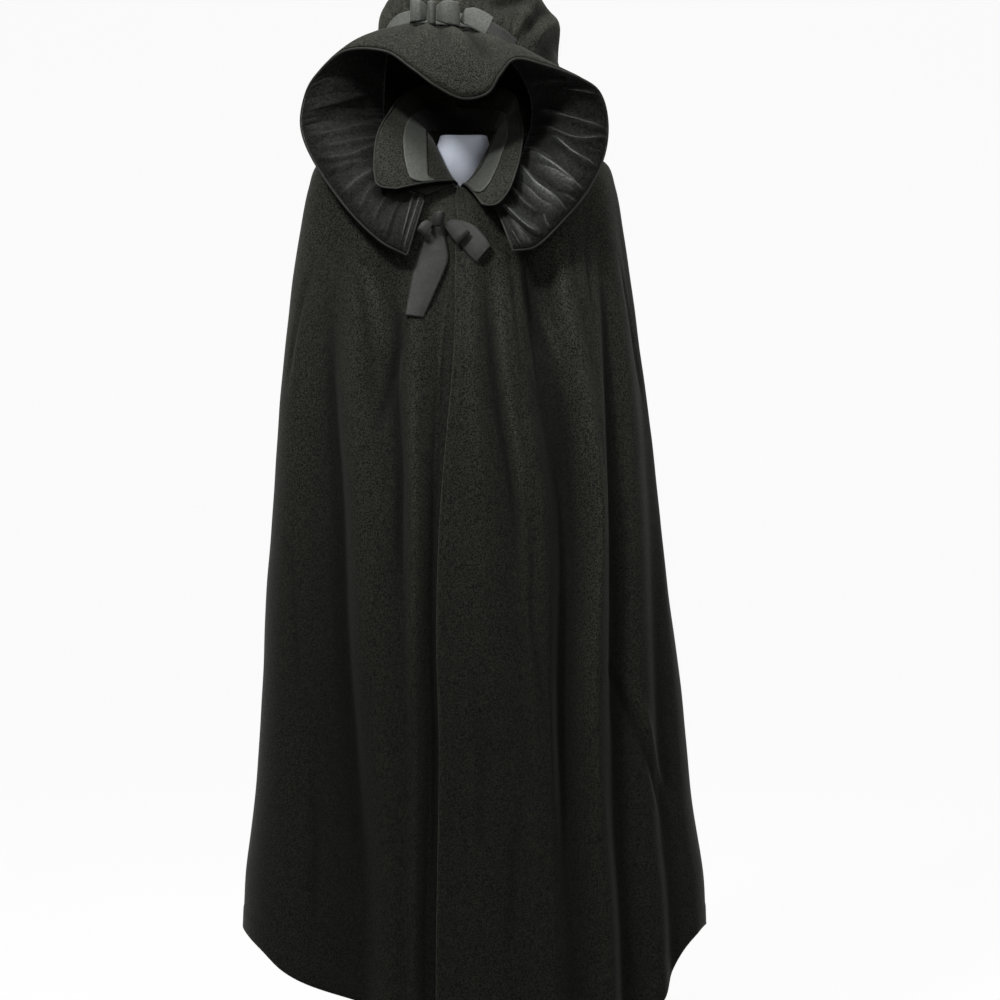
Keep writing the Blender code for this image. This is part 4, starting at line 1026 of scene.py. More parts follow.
# Ridges of the velvet alone: widths before and after the crest, height, how far the crest is rubbed
# and painted paler as a painted highlight, and its places. A ridge with a narrow side and a wide one
# is a pinched fold that leans over.
VELVET_RIDGES = table("name before after height rub path", [
    ("left a", 2.6, 8, 7.4, 0.62, [(0.16, 17.5), (0.6, 18), (0.96, 18.25)]),
    ("left b", 2.4, 6, 6.3, 0.55, [(0.2, 18.3), (0.62, 18.7), (0.97, 18.5)]),
    ("left c", 3, 5, 9.1, 0.9, [(0.34, 18.7), (0.62, 19.2), (0.94, 19.4)]),
    ("left d", 2.6, 13, 9.8, 0.9, [(0.12, 19.5), (0.5, 19.8), (0.96, 20.15)]),
    ("left e", 2.6, 15, 10.8, 1, [(0.02, 20.2), (0.36, 20.6), (0.7, 20.65), (0.98, 20.75)]),
    ("left f", 9, 3, 9.8, 0.9, [(0.2, 22.6), (0.48, 22.3), (0.95, 21.7)]),
    ("left under f", 3, 6, 5.2, 0.4, [(0.1, 21.5), (0.4, 21.5), (0.7, 21.3)]),
    ("left top", 5, 3, 5.2, 0.35, [(0.56, 16.6), (0.84, 16.9), (0.98, 17.1)]),
    ("left high", 4, 5, 3.9, 0.25, [(0.1, 16), (0.44, 16.1), (0.76, 16.2)]),
    ("left between", 3, 5, 2.6, 0.3, [(0.06, 19.3), (0.22, 19.4), (0.46, 19.6)]),
    ("left rim a", 2, 2, 2.8, 0.85, [(0.66, 22.75), (0.82, 22.7), (0.98, 22.6)]),
    ("left rim b", 2, 2, 2.8, 0.8, [(0.72, 22.3), (0.84, 22.2), (0.98, 22.15)]),
    ("left rim c", 2, 2.4, 2.5, 0.55, [(0.74, 21.2), (0.86, 21.3), (0.98, 21.35)]),
    ("left rim d", 2, 2.4, 2.2, 0.45, [(0.8, 20.4), (0.88, 20.4), (0.98, 20.4)]),
    ("left low end", 12, 12, 1.2, 0.5, [(0.4, 22.3), (0.66, 22.3), (0.99, 22.2)]),
    ("right a", 6, 7, 3, 0.12, [(0.2, 4.9), (0.6, 4.6), (0.96, 4.5)]),
    ("right b", 7, 5, 3.6, 0.2, [(0.1, 3.95), (0.5, 3.75), (0.98, 3.7)]),
    ("right c", 7, 5, 3.6, 0.19, [(0.04, 3.35), (0.44, 3.3), (0.9, 3.35)]),
    ("right d", 7, 5, 4, 0.22, [(0.02, 3.1), (0.5, 2.9), (0.97, 3.1)]),
    ("right e", 6, 4, 3.2, 0.17, [(0.3, 2.55), (0.56, 2.7), (0.9, 2.75)]),
    ("right f", 7, 4.4, 4.2, 0.3, [(0.24, 2.25), (0.6, 2.3), (0.98, 2.25)]),
    ("right g", 4, 3.6, 2.6, 0.24, [(0.2, 1.9), (0.56, 1.9), (0.94, 1.8)]),
    ("right h", 4, 3.6, 2.4, 0.22, [(0.2, 1.35), (0.56, 1.4), (0.94, 1.35)]),
    ("right i", 3.4, 3.4, 2.2, 0.2, [(0.2, 0.85), (0.56, 0.9), (0.94, 0.85)]),
    ("end pleat", 1.4, 1.8, 3.2, 0.95, [(0.04, 0.42), (0.48, 0.34), (0.84, 0.3)]),
    ("stitched end", 1, 1.6, 1.6, 0.8, [(0, 0.14), (0.5, 0.13), (1, 0.12)]),
], mm=slice(1, 4))


def ruffle_fold(station, out):
    """How far both cloths lean to the velvet side together."""
    total = np.zeros(np.broadcast_shapes(station.shape, out.shape))
    for fold in RUFFLE_FOLDS:
        centre, strength = follow(fold.path, out, FOLD_ENDS)
        total += fold.depth * strength * soft_bump(station - centre, fold.width)
    return total * soft_step(out / 0.14) * soft_step((1 - out) / 0.20)


def velvet_puff(station, out):
    """How far the velvet stands out from its wool backing, and how far it is rubbed and painted with
    highlight there.
    """
    place = PUCKERS * station / LAST_STATION
    bent = place + 0.5 * waver(2.6 * out + 0.4 * place, 5.0) * (out - 0.35)
    height = ridges(bent, 3.0) * ridge_height(np.round(bent), 4.0)
    middle = 0.46 + 0.16 * waver(0.9 * place, 6.0)
    swell = np.clip(1 - ((out - middle) / 0.66) ** 2, 0.0, 1.0)
    total = PUCKER_HEIGHT * height * swell
    # Taller puckers get a little painted highlight along with rubbing.
    rub_and_shading = 0.10 * height * swell
    pinched = np.zeros_like(total)
    for ridge in VELVET_RIDGES:
        centre, strength = follow(ridge.path, out, RIDGE_ENDS)
        away = (station - centre) * (SEAM_SECTION + (EDGE_SECTION - SEAM_SECTION) * out)
        width = np.where(away < 0, ridge.before, ridge.after)
        shape = strength * np.exp(-np.abs(away / width) ** 1.5)
        pinched += (ridge.height * shape) ** 3
        rub_and_shading = np.maximum(rub_and_shading, ridge.rub * shape)
    total += np.cbrt(pinched)
    rim = ridges(RIM_PUCKERS * station / LAST_STATION, 16.0) * soft_bump(out - 0.88, 0.11)
    total += RIM_HEIGHT * rim * np.clip(0.6 + waver(3.0 * station, 17.0), 0.0, 1.2)
    seam = ridges(SEAM_PUCKERS * station / LAST_STATION, 18.0) * soft_bump(out - 0.05, 0.10)
    total += SEAM_HEIGHT * seam
    return np.clip(total, 0.0, MOST_PUFF) * soft_step((1 - out) / 0.05), rub_and_shading


def wool_puff(station, out):
    """Gathers of the ruffle's wool side, fanning out from the seam."""
    place = RUFFLE_GATHERS * station / LAST_STATION
    height = ridges(place, 8.0) * ridge_height(np.round(place), 9.0)
    reach_out = 0.50 + 0.30 * waver(1.3 * place, 7.0)
    fade = soft_step(1 - out / reach_out)
    ends = soft_step(station / 1.2) * soft_step((LAST_STATION - station) / 1.2)
    return GATHER_HEIGHT * height * fade * ends


def ruffle_surface(station, out, lift):
    """The ruffle's middle with its folds, lifted off towards the velvet side."""
    station, out = both(station, out)
    depth = ruffle_fold(station, out) + lift
    return ruffle_middle(station, out) + square_to(ruffle_middle, station, out) * depth[..., None]


def ruffle_grid(columns, rows):
    return even_stations(columns)[None, :], np.linspace(0, 1, rows)[:, None]


def make_ruffle():
    stations, outs = ruffle_grid(*WOOL_GRID)
    gathers = wool_puff(stations, outs)
    wool = ruffle_surface(stations, outs, -SEAM_GAP / 2 - gathers)
    # Gathers paler as painted highlight with rubbing, folds darker as painted shade.
    wear = PLAIN_WEAR_AND_SHADING + gathers / GATHER_WEAR_AND_HIGHLIGHT - ruffle_fold(stations, outs) / FOLD_SHADING
    outer = add_sheet("ruffle_wool", wool, WOOL, 1, ["ruffle_outer"], "wool", wear=wear)
    stations, outs = ruffle_grid(*VELVET_GRID)
    puff, wear = velvet_puff(stations, outs)
    velvet = ruffle_surface(stations, outs, SEAM_GAP / 2 + VELVET + puff)
    return outer, add_sheet(
        "ruffle_velvet", velvet, VELVET, -1, ["ruffle_facing"], "velvet", flip=True, wear=wear
    )


ruffle_wool, ruffle_velvet = make_ruffle()
print("ruffle gathers:", RUFFLE_GATHERS, "velvet puckers:", PUCKERS)

# %% [markdown]
# ## Piping
#
# The ruffle and the collar are edged with a satin-covered cord, sewn on all round: up one end,
# along the edge and down the other end. The line is worked out from the cloth it edges, so the cord
# always nests against the cut edge, which is how a cord looks once it is stitched down.

# %% Cord round an edge
RUFFLE_PIPING_RADIUS = 0.0019
COLLAR_PIPING_RADIUS = 0.0014
# Where each cord's points lie up an end of its sheet, as share of the way out.
RUFFLE_END_OUTS = np.linspace(0.06, 0.97, 24)
COLLAR_END_OUTS = np.linspace(0.34, 0.97, 18)


def rim_cord(surface, places, end_outs, radius, parts):
    """A cord's line up one end of a sheet, along its outer edge and down the other end.

    The cord's directions are measured over one of so many parts of the edge.
    """
    step, beyond = (places[-1] - places[0]) / parts, radius - PIPING_NEST

    def ways(place, out):
        ahead, behind = np.minimum(place + step, places[-1]), np.maximum(place - step, places[0])
        along = unit(surface(ahead, out) - surface(behind, out))
        across = unit(surface(place, np.minimum(out + 0.02, 1.0)) - surface(place, out - 0.02))
        flat = (across * along).sum(axis=-1, keepdims=True)
        return unit(across - along * flat), unit(along - across * flat)

    def end_of_cord(place, side):
        line = surface(place, end_outs) + ways(place, end_outs)[1] * (side * beyond)
        corner = surface(place, 1.0)
        outward, endward = ways(place, 1.0)
        turns = np.radians(np.linspace(0, 80, 7))[:, None]
        bend = corner + (endward * side * np.cos(turns) + outward * np.sin(turns)) * beyond
        return np.vstack([line, bend])

    edge = surface(places, 1.0) + ways(places, 1.0)[0] * beyond
    return np.vstack([end_of_cord(places[0], -1), edge, end_of_cord(places[-1], 1)[::-1]])


ruffle_line = rim_cord(
    ruffle_middle, even_stations(560, 1.0), RUFFLE_END_OUTS, RUFFLE_PIPING_RADIUS, 1100
)
add_cord("ruffle_cord", ruffle_line, RUFFLE_PIPING_RADIUS, ["ruffle_piping"])
print("cord points:", len(ruffle_line))

# %% [markdown]
# ## The hood
#
# The hood is a bag of wool gathered into the ruffle's seam in front and into the neck seam below.
# It is lofted in strips from one seam to the other, and the pulls shape each strip like the handles
# of a curve. Empty, it slumps: the gathers fan out from both seams, and a few big soft pleats stand
# up near the face and sink in behind.

# %% Hood strips
HOOD = table("station turn face_x face_y face_rise neck_x neck_y neck_rise", [
    (0, 15, 10, 10, 8, -8, -16, -7),
    (1, 34, 18, 6, 18, -18, -17, -9),
    (2, 55, 10, 12, 24, -26, -10, -2),
    (3, 76, -12, 35, 30, -48, 2, 12),
    (4, 96, -23, 60, 20, -68, 49, 36),
    (5, 114, -27, 74, 34, -86, 70, 60),
    (6, 130, -24, 70, 90, -88, 76, 84),
    (7, 142, -18, 58, 165, -78, 82, 106),
    (8, 152, -20, 50, 230, -64, 92, 112),
    (10, 166, -10, 50, 290, -30, 115, 110),
    (12, 182, 4, 56, 300, 6, 122, 108),
    (13, 193, 34, 62, 290, 44, 116, 108),
    (14, 203, 76, 68, 255, 82, 106, 112),
    (15, 214, 94, 76, 200, 106, 94, 106),
    (16, 227, 86, 84, 120, 110, 80, 84),
    (17, 241, 56, 86, 58, 94, 66, 60),
    (18, 258, 36, 70, 26, 78, 46, 38),
    (19, 276, 17, 39, 28, 44, 5, 18),
    (20, 298, -3, 18, 23, 22, -7, 4),
    (21, 318, -13, 8, 18, 14, -12, -10),
    (22, 336, -14, 10, 14, 14, -14, -6),
    (23, 350, -13, 12, 10, 12, -16, -4),
], mm=slice(2, 8))
HOOD_TRACK = Track([strip.station for strip in HOOD], [strip[1:] for strip in HOOD])
# The ribbon band's metres from the ruffle's seam, and its stations.
BAND_LOW = 0.003
BAND_HIGH = 0.025
BAND_START = 7.2
BAND_END = 14.2
BAND_COLUMNS = 150
BAND_ROWS = 10
HOOD_GATHERS = 44
HOOD_SEAM_TUCK = 0.0045
FRONT_GATHER = 0.0058
NAPE_GATHER = 0.0042
HOOD_GRID = (360, 92)
HOOD_UNEVENNESS = 0.0012
HOOD_WEAR_AND_SHADING = 0.022
# Where the hood's neck edge climbs over the lap of the fronts, in degrees.
LAP_TURN = 330
LAP_TURN_SPAN = 12


def neck_point(turn, inset=0.0, lift=0.0):
    """A point by the neck seam: inset towards the neck and lifted off the cloth.

    A turn is an angle taken the other way round, from the front past the wearer's right.
    """
    off_cloth = cloth_outward(np.zeros_like(turn), -turn)
    along = cloth_point(0.0, -turn - 1) - cloth_point(0.0, -turn + 1)
    inward = unit(np.cross(along, off_cloth))
    return cloth_point(0.0, -turn) + inward * inset + off_cloth * np.asarray(lift)[..., None]


def cubic(start, leave, arrive, end, share):
    """A curve from start to end that two handles pull."""
    s = share[..., None]
    point = start * (1 - s) ** 3 + leave * (3 * s * (1 - s) ** 2)
    return point + arrive * (3 * s**2 * (1 - s)) + end * s**3


def hood_point(station, back):
    """The hood's outside, from the ruffle's seam (0) to the neck seam (1)."""
    station, back = both(station, back)
    values = HOOD_TRACK.at(station)
    turn = values[..., 0]
    over_lap = LAP_RISE * soft_step((turn - LAP_TURN) / LAP_TURN_SPAN)
    start, end = ruffle_middle(station, 0.0), neck_point(turn, 0.0, NECK_SEAM_GAP + over_lap)
    leave, arrive = start + values[..., 1:4], end + values[..., 4:7]
    return cubic(start + unit(leave - start) * HOOD_SEAM_TUCK, leave, arrive, end, back)


def from_seam(stations, rows):
    """Backward places for each station, and their distances from the ruffle's seam."""
    fine = np.linspace(0, 1, 121)
    lengths = travelled(hood_point(stations[None, :], fine[:, None]))
    band = np.linspace(0, BAND_HIGH, rows // 5, endpoint=False)
    backs, distances = [], []
    for column in lengths.T:
        spots = np.concatenate([band, np.linspace(BAND_HIGH, column[-1], rows - rows // 5)])
        backs.append(np.interp(spots, column, fine))
        distances.append(spots)
    return np.array(backs).T, np.array(distances).T


print("hood strips:", len(HOOD))

# %% [markdown]
# Under the ribbon band the gathers are sewn flat. They start where it ends, and elsewhere straight
# at the seam. The pleats in the list are the big soft ones: how wide each is in stations, how far
# it stands out or sinks in, and its places, as share of the way back and station.

# %% Hood gathers and pleats
PLEAT_ENDS = (0.25, 0.25, 0.5, 0.0)
HOOD_PLEATS = table("name width depth path", [
    ("crown pleat right", 0.5, 7, [(0.04, 9), (0.24, 8.6), (0.44, 8.9)]),
    ("hollow beside it", 0.45, -6, [(0.04, 10), (0.22, 9.9), (0.46, 10.2)]),
    ("crown pleat middle", 0.55, 7, [(0.04, 11.1), (0.24, 11), (0.5, 11.4)]),
    ("middle hollow", 0.45, -6, [(0.04, 12.1), (0.22, 12.3), (0.44, 12.4)]),
    ("crown pleat left", 0.36, 6, [(0.1, 13.2), (0.22, 13.5), (0.44, 13.8)]),
    ("arched fold left", 0.34, -8, [(0.05, 12.7), (0.09, 13.2), (0.14, 13.9), (0.2, 14.2)]),
    ("deep fold left", 0.24, -9, [(0.05, 14.45), (0.12, 14.6), (0.24, 14.7), (0.36, 14.5)]),
    ("puff before it", 0.34, 5, [(0.03, 14), (0.1, 14.2), (0.22, 14.1), (0.34, 13.9)]),
    ("puff behind it", 0.34, 7, [(0.05, 14.9), (0.14, 15), (0.28, 15.1), (0.5, 15.2)]),
    ("side hollow left", 0.36, -7, [(0.05, 15.5), (0.2, 15.6), (0.56, 16)]),
    ("side puff left", 0.5, 6, [(0.06, 16.5), (0.3, 16.8), (0.6, 17.2)]),
    ("cheek hollow left", 0.4, -4, [(0.1, 17.6), (0.34, 17.9), (0.64, 18.3)]),
    ("side puff right", 0.55, 6, [(0.06, 7), (0.3, 6.7), (0.6, 6.2)]),
    ("side hollow right", 0.45, -6, [(0.06, 7.9), (0.26, 7.7), (0.54, 7.4)]),
    ("cheek hollow right", 0.45, -5, [(0.08, 5.6), (0.34, 5.3), (0.66, 4.9)]),
    ("nape fold a", 0.6, -7, [(0.46, 9.2), (0.66, 9.8), (0.88, 10.4)]),
    ("nape puff a", 0.6, 6, [(0.5, 10.8), (0.7, 11.2), (0.9, 11.4)]),
    ("nape fold b", 0.55, -7, [(0.44, 12.4), (0.66, 12.2), (0.9, 12.3)]),
    ("nape puff b", 0.6, 6, [(0.48, 13.6), (0.68, 13.3), (0.88, 13.2)]),
    ("nape fold c", 0.5, -6, [(0.52, 15.2), (0.7, 14.8), (0.9, 14.4)]),
    ("nape fold d", 0.5, -6, [(0.5, 7.2), (0.68, 7.9), (0.9, 8.5)]),
    ("nape puff c", 0.5, 5, [(0.46, 8.2), (0.62, 8.9), (0.84, 9.6)]),
    ("nape puff d", 0.5, 5, [(0.54, 16.2), (0.7, 15.9), (0.88, 15.5)]),
], mm=slice(2, 3))


def pleat_depth(station, back):
    total = np.zeros_like(station)
    for pleat in HOOD_PLEATS:
        centre, strength = follow(pleat.path, back, PLEAT_ENDS)
        total += pleat.depth * strength * soft_bump(station - centre, pleat.width)
    return total


def hood_gathers(station, back, distance):
    """Gathers that fan out from both seams of the hood."""
    place = HOOD_GATHERS * station / LAST_STATION
    under_band = soft_step((station - BAND_START + 0.4) / 0.4)
    under_band = under_band * soft_step((BAND_END + 0.4 - station) / 0.4)
    begin = 0.001 + (BAND_HIGH - 0.004) * under_band
    grow = soft_step((distance - begin) / 0.010)
    far = 0.060 + 0.030 * waver(1.3 * place, 11.0)
    front = grow * soft_step(1 - (distance - begin) / far)
    nape = soft_step(1 - (1 - back) / (0.26 + 0.10 * waver(place, 12.0)))
    nape = soft_step((1 - back) / 0.03) * nape
    height = ridge_height(np.round(place), 13.0)
    ends = soft_step((np.minimum(station, LAST_STATION - station) - 1.2) / 2.5)
    shape = ridges(place, 10.0) - 0.45
    return ends * height * shape * (FRONT_GATHER * front + NAPE_GATHER * nape)


def make_hood():
    stations = even_stations(HOOD_GRID[0], 0.0)
    backs, distances = from_seam(stations, HOOD_GRID[1])
    grid = np.broadcast_to(stations[None, :], backs.shape)
    depth = hood_gathers(grid, backs, distances) + pleat_depth(grid, backs)
    plain = hood_point(grid, backs)
    uneven = waver(28 * plain[..., 0] + 20 * plain[..., 2], 14.0)
    depth += HOOD_UNEVENNESS * uneven * soft_step(distances / 0.03)
    ends = soft_step((np.minimum(grid, LAST_STATION - grid) - 0.6) / 2.0)
    depth *= 0.15 + 0.85 * ends
    points = plain + square_to(hood_point, grid, backs) * depth[..., None]
    # Puffs are painted paler as painted highlight with rubbing, hollows darker as painted shade.
    wear = 0.5 + depth / HOOD_WEAR_AND_SHADING
    return add_sheet("hood_wool", points, WOOL, -1, ["hood"], "wool", flip=True, wear=wear)


hood = make_hood()
print("hood pleats:", len(HOOD_PLEATS))

# %% [markdown]
# ## The collar
#
# Inside the hood's neck stands a wide band of wool that flares into two wings, like a small cape
# collar. A ribbon stripe is sewn along the middle of its inside, and satin cord edges it. It stands
# up from the neck seam first and then falls forward.

# %% Collar
COLLAR = table("name turn edge_x edge_y edge_rise push stripe", [
    ("right end", 11, -116, -132, -62, 36, 0.58),
    ("right front", 28, -122, -122, -30, 36, 0.51),
    ("right jaw", 48, -121, -100, 16, 26, 0.43),
    ("right side", 78, -104, -54, 66, 8, 0.36),
    ("right nape", 122, -78, 20, 112, 0, 0.36),
    ("back", 180, -4, 68, 130, -10, 0.36),
    ("left nape", 238, 66, 18, 108, 0, 0.36),
    ("left side", 280, 78, -42, 68, 10, 0.38),
    ("left jaw", 308, 81, -88, 22, 22, 0.44),
    ("left front", 334, 72, -122, -30, 28, 0.44),
    ("left turn", 352, 58, -140, -66, 30, 0.38),
    ("left end", 365, 36, -142, -90, 30, 0.36),
], mm=slice(2, 6))
COLLAR_TRACK = Track([fall.turn for fall in COLLAR], [fall[2:] for fall in COLLAR])
COLLAR_INSET = 2 * WOOL + SEAM_GAP
COLLAR_STAND = 0.023
CORNER_CUT = 0.15
CORNER_DEGREES = 8.0
CORNER_COLUMNS = 12
COLLAR_RIPPLE = 0.0008
COLLAR_GRID = (200, 36)
STRIPE_ROWS = 14
STRIPE_END = 0.72
# How pale the stripe is at a few turns: palest at the front of the wearer's right wing as painted
# light, darker round the back inside the hood as painted shade.
STRIPE_TURNS = [30, 90, 250, 330]
STRIPE_FADED_AND_LIT = [1.00, 0.40, 0.35, 0.62]


def collar_turns(count):
    """Turns of the collar's columns, closer together by its two rounded corners."""
    first, last = COLLAR[0].turn, COLLAR[-1].turn
    even = np.linspace(first + CORNER_DEGREES, last - CORNER_DEGREES, count)
    corner = np.linspace(0, CORNER_DEGREES, CORNER_COLUMNS, endpoint=False)
    return np.concatenate([first + corner, even, last - corner[::-1]])


def collar_point(turn, out):
    """The collar's inner face, from the neck seam (0) to the piped edge (1)."""
    turn, out = both(turn, out)
    from_end = np.minimum(turn - COLLAR[0].turn, COLLAR[-1].turn - turn) / CORNER_DEGREES
    out = out * (1 - CORNER_CUT * np.clip(1 - from_end, 0.0, None) ** 2)
    values = COLLAR_TRACK.at(turn)
    start, edge = neck_point(turn, COLLAR_INSET, SEAM_GAP), raised(values[..., 0:3])
    stand = neck_point(turn, COLLAR_INSET, COLLAR_STAND)
    push = np.stack([np.zeros_like(turn), -values[..., 3], np.full_like(turn, 0.004)], axis=-1)
    return cubic(start, stand, (start + edge) / 2 + push, edge, out)


def collar_sheet(turn, out, lift):
    """Rows of the collar, with a slow ripple that both its layers share."""
    turn, out = both(turn, out)
    ripple = soft_step(out / 0.4) * soft_step((1 - out) / 0.15)
    ripple = COLLAR_RIPPLE * waver(0.09 * turn, 15.0) * ripple
    inward = square_to(collar_point, turn, out, 1.0, math.inf)
    return collar_point(turn, out) + inward * (lift + ripple)[..., None]


def make_collar():
    turns = collar_turns(COLLAR_GRID[0])[None, :]
    wool = collar_sheet(turns, np.linspace(0, 1, COLLAR_GRID[1])[:, None], 0.0)
    collar = add_sheet("collar_wool", wool, WOOL, 1, ["collar"], "wool")
    start = COLLAR_TRACK.at(turns)[..., 4]
    outs = start + (STRIPE_END - start) * np.linspace(0, 1, STRIPE_ROWS)[:, None]
    ribbon = collar_sheet(turns, outs, PATCH_GAP).transpose(1, 0, 2)
    print("collar stripe about", pattern_size(ribbon), "m")
    # Painted light on the stripe's front, painted shade round its back.
    faded_and_lit = np.interp(turns[0], STRIPE_TURNS, STRIPE_FADED_AND_LIT)
    wear = np.broadcast_to(faded_and_lit[:, None], ribbon.shape[:2])
    stripe = add_sheet("collar_ribbon", ribbon, RIBBON, 1, ["collar_stripe"], "ribbon", wear=wear)
    line = rim_cord(collar_point, collar_turns(240), COLLAR_END_OUTS, COLLAR_PIPING_RADIUS, 950)
    add_cord("collar_cord", line, COLLAR_PIPING_RADIUS, ["collar_piping"])
    return collar, stripe


collar, collar_ribbon = make_collar()
print("collar stripe ends", STRIPE_END, "of the way out")

# %% [markdown]
# ## Ribbon band and bows
#
# Grosgrain ribbon, ribbed across, covers the seam over the crown and ties into a bow there and at
# the throat. Each ribbon is a strip through a few places, with a width and a lean. Tied ribbon is
# never flat, so each strip is hollow along its middle and its edges curl a little. The hood's bow is
# painted pale, as old black silk faded brown and as painted light from above, and the throat's loops
# are kept dark as painted shade.

# %% Ribbons
# Each ribbon's places: x, y, rise and width in millimetres, and how it leans in degrees.
BOWS = {
    "throat_bow_long_tail": [
        (-37.5, -107, -106, 14, -4), (-40.5, -114, -130, 34, 0), (-43, -118.2, -152, 44, -2),
        (-50, -122.5, -176, 41, -4), (-59, -127, -206, 34, 0), (-67.5, -131, -233, 25, -8),
    ],
    "throat_bow_short_tail": [
        (-22, -106.5, -100, 12, 46), (-10, -110.5, -106, 22, 46), (4, -118.5, -118, 32, 46),
        (18, -122.2, -134, 34, 46), (27.5, -122.8, -146, 30, 50),
    ],
    "throat_bow_left_loop": [
        (-22.8, -112.5, -101, 10, 43), (-14, -123, -108, 20, 43), (-4, -128.5, -119, 24, 43),
        (1, -126.5, -125, 24, 43), (-3, -123.5, -121, 22, 43), (-13, -118.5, -110, 16, 43),
    ],
    "throat_bow_right_loop": [
        (-46.9, -118.5, -101, 10, -36), (-51.5, -125, -107, 14, -36), (-55.5, -126, -114, 16, -36),
        (-58, -122.5, -118, 16, -36), (-55, -119, -114, 14, -36), (-50.5, -118, -105, 12, -36),
    ],
    "throat_bow_knot": [
        (-44, -105, -97, 18, 78), (-42.5, -115, -97, 19, 78), (-35, -121, -96, 20, 82),
        (-28, -118, -95, 19, 84), (-26.5, -107, -95, 18, 84),
    ],
    "hood_bow_right_loop": [
        (-52, -83, 198, 20, 88), (-62, -91, 199, 30, 88), (-72, -88, 200, 32, 88),
        (-75, -82, 200, 32, 88), (-71, -77, 200, 30, 88), (-54, -77.5, 198, 20, 88),
    ],
    "hood_bow_left_loop": [
        (-38.5, -85, 197, 20, 92), (-27, -95, 196, 32, 92), (-12, -92, 195, 35, 94),
        (-6, -85, 194, 35, 94), (-11, -80, 194, 32, 94), (-37, -79.5, 197, 20, 92),
    ],
    "hood_bow_tail": [
        (-2, -75, 197.2, 20, 64), (8, -80, 194.2, 28, 58), (22, -87, 186.2, 29, 56),
        (36, -93, 176.2, 28, 66),
    ],
    "hood_bow_knot": [
        (-50.5, -74, 197.5, 31, 90), (-50, -86, 197.5, 32, 90), (-45, -90, 197, 33, 90),
        (-40.5, -86, 196.5, 32, 90), (-40, -74, 196.5, 31, 90),
    ],
}
# How pale each ribbon is, 0 to 1, at its start and at its end: faded silk with painted light, and
# low values kept dark as painted shade.
FADED_AND_LIT = {
    "throat_bow_long_tail": (0.03, 0.08),
    "throat_bow_short_tail": (0.00, 0.12),
    "throat_bow_left_loop": (0.00, 0.02),
    "throat_bow_right_loop": (0.12, 0.08),
    "throat_bow_knot": (0.03, 0.03),
    "hood_bow_right_loop": (0.90, 0.90),
    "hood_bow_left_loop": (0.95, 0.95),
    "hood_bow_tail": (0.90, 1.00),
    "hood_bow_knot": (0.70, 0.70),
    "hood_band": (0.90, 0.10),
}
EDGE_FADE = 0.24
RIBBON_HOLLOW = 0.0015


def ribbon_fade_and_light(name, rows, columns):
    """A ribbon's second map: how pale it is along its length, from faded silk and painted light and
    shade, and rubbed pale at both edges.
    """
    start, end = FADED_AND_LIT[name]
    along = start + (end - start) * soft_step(np.linspace(0, 1, rows))[:, None]
    edges = soft_step((np.abs(np.linspace(-1, 1, columns)) - 0.72) / 0.28)
    return along + EDGE_FADE * edges


def ribbon_grid(stretches):
    """Points of a ribbon, row by row down its length."""
    last = len(stretches) - 1
    rows = Track(range(last + 1), stretches).at(np.linspace(0, last, 12 * last + 1))
    x, y, rise, width = np.moveaxis(rows[:, :4] / 1000, -1, 0)
    lean = np.radians(rows[:, 4])
    way = np.stack([np.cos(lean), np.zeros_like(lean), np.sin(lean)], axis=-1)
    across = np.linspace(-1, 1, 13)
    middle = raised(np.stack([x, y, rise], axis=-1))
    points = middle[:, None, :] + way[:, None, :] * (width[:, None] / 2 * across)[..., None]
    points[..., 1] -= RIBBON_HOLLOW * (1 - across**2)
    return points


def make_band():
    stations = np.linspace(BAND_START, BAND_END, BAND_COLUMNS)
    fine = np.linspace(0, 1, 121)
    strips = []
    for station in stations:
        lengths = travelled(hood_point(station, fine))
        backs = np.interp(np.linspace(BAND_LOW, BAND_HIGH - 0.001, BAND_ROWS), lengths, fine)
        lift = square_to(hood_point, np.full_like(backs, station), backs) * PATCH_GAP
        strips.append(hood_point(station, backs) + lift)
    points = np.array(strips)
    wear = ribbon_fade_and_light("hood_band", *points.shape[:2])
    return add_sheet("hood_ribbon", points, RIBBON, 1, ["hood_band"], "ribbon", wear=wear)


def make_bow(name, stretches):
    points = ribbon_grid(stretches)
    wear = ribbon_fade_and_light(name, *points.shape[:2])
    return add_sheet("ribbon_" + name, points, RIBBON, 0, [name], "ribbon", wear=wear)


hood_ribbon = make_band()
bows = {name: make_bow(name, stretches) for name, stretches in BOWS.items()}
print("ribbons:", len(bows) + 1)

# %% [markdown]
# ## The dress form and its stand
#
# The cloak hangs on a limbless form with a flat-topped neck, covered in pale cloth. Above the
# shoulders it follows the cloak from inside, a millimetre clear, because that is where the weight
# rests. It stands on a steel pole in a round base. Only the neck shows from the front, but the
# whole form is made, smooth all round.

# %% Form
FORM_NECK = table(RING, [
    ("neck top", 34.5, 46, 41, -2, 40, 34, 34, 2),
    ("neck base", 40, 52, 47, -2.5, 20, -52, 28, 2.8),
], mm=slice(1, 8))
FORM_RINGS = table(RING, [
    ("armhole", 196, 100, 103, -2, -60, -135, -90, 2),
    ("chest", 168, 107, 101, 0, -130, -170, -140, 2),
    ("bust", 156, 116, 98, 0, -210, -225, -215, 2),
    ("under bust", 138, 100, 92, 0, -300, -300, -300, 2),
    ("waist", 118, 88, 82, 0, -405, -405, -405, 2),
    ("high hip", 146, 100, 104, 0, -500, -500, -500, 2),
    ("hip", 166, 108, 118, 0, -600, -600, -600, 2),
    ("foot of the torso", 160, 102, 112, 0, -680, -680, -680, 2),
], mm=slice(1, 8))
LID_SHARES = (0.02, 0.5, 0.90, 0.985)
FORM_COLUMNS = 96
# Metres from the form to the cloth on it, on the shoulders and at their tips.
SHOULDER_GAP = 0.0016
TIP_GAP = 0.0044


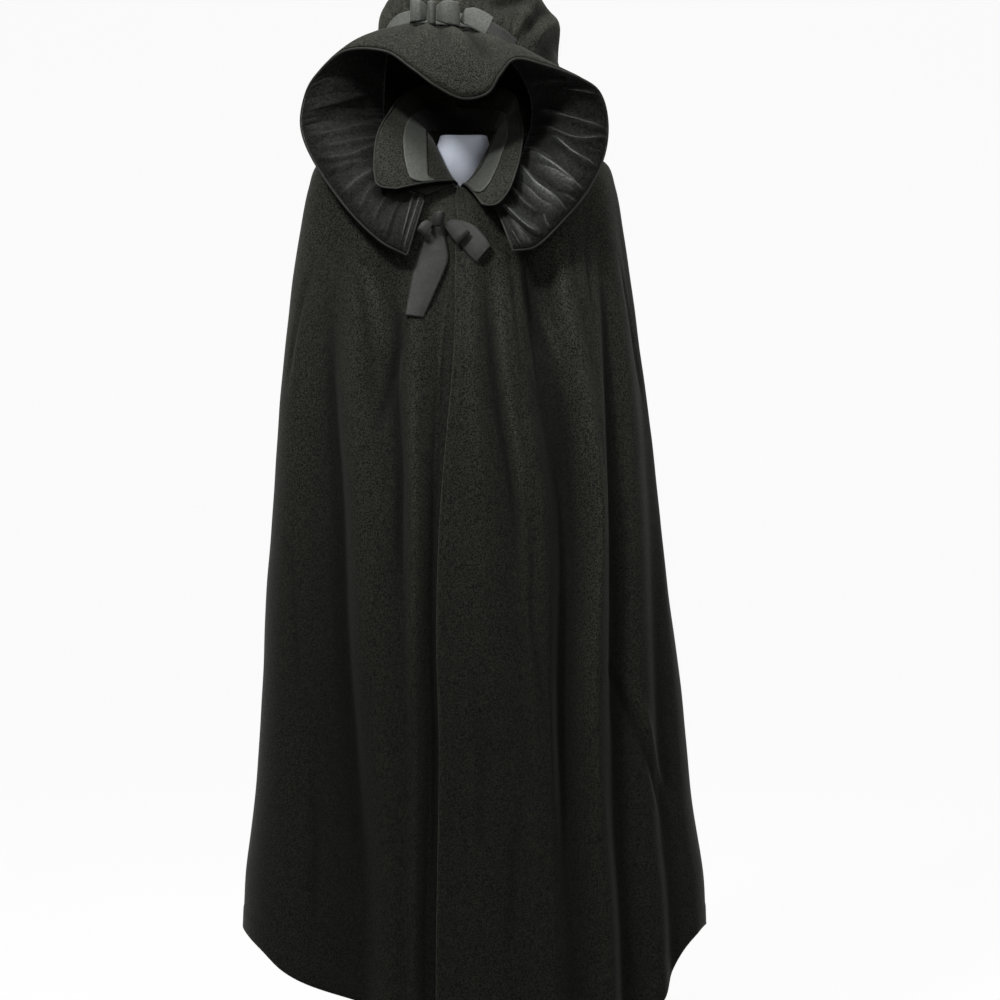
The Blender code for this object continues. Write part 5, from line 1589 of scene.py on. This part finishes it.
def form_rows(angles):
    neck = np.array([ring[1:] for ring in FORM_NECK])
    steps = np.linspace(0, 1, 8)[:, None]
    neck_points = ring_points((neck[:1] + (neck[1:] - neck[:1]) * steps)[:, None, :], angles)
    reach = np.linspace(REACH_OF["collarbone"], REACH_OF["shoulder tip"], 14)[:, None]
    near_tip = soft_step(1 - (REACH_OF["shoulder tip"] - reach) / 0.05)
    gap = SHOULDER_GAP + (TIP_GAP - SHOULDER_GAP) * near_tip
    shoulder = cloth_point(reach, angles, -WOOL - gap + 0 * angles)
    armhole = ring_points(np.array(FORM_RINGS[0][1:])[None, None, :], angles)
    turn_in = np.array([0.25, 0.5, 0.75])[:, None, None]
    below = shoulder[-1:] + (armhole - shoulder[-1:]) * turn_in
    torso_track = Track(range(len(FORM_RINGS)), [ring[1:] for ring in FORM_RINGS])
    torso = ring_points(torso_track.at(np.linspace(0, len(FORM_RINGS) - 1, 50))[:, None, :], angles)
    return np.vstack([neck_points, shoulder, below, torso])


def lid(rim, shares):
    """Smaller copies of a rim round its own middle, each a share of its size."""
    middle = rim.mean(axis=0)
    return np.array([middle + (rim - middle) * share for share in shares])


def make_form():
    rows = form_rows(np.linspace(0, 360, FORM_COLUMNS, endpoint=False)[None, :])
    top, foot = lid(rows[0], LID_SHARES), lid(rows[-1], LID_SHARES[::-1])
    mesh = grid_mesh("form", np.concatenate([top, rows, foot]), closed=True)
    body = add_object("form", mesh)
    shape = bmesh.new()
    shape.from_mesh(mesh)
    bmesh.ops.holes_fill(shape, edges=[edge for edge in shape.edges if edge.is_boundary])
    bmesh.ops.recalc_face_normals(shape, faces=shape.faces)
    shape.to_mesh(mesh)
    shape.free()
    return finish_piece(body, ["dress_form"], "form_cloth")


form = make_form()
for name in ("stand_pole", "stand_base"):
    node = bpy.data.objects[name]
    for slot in node.material_slots:
        slot.material = MATERIALS["stand_metal"]
print("form points:", len(form.data.vertices))

# %% [markdown]
# ## What the cloth was cut to
#
# A sewn piece is only right if its cloth lies flat before it is sewn. The loop below measures the
# cut of each bow's ribbon, width by length in metres, and keeps nothing of it. Gathered pieces are
# cut longer than they hang.

# %% Cuts
for name, ribbon in bows.items():
    across, down = pattern_lengths(ribbon_grid(BOWS[name]))
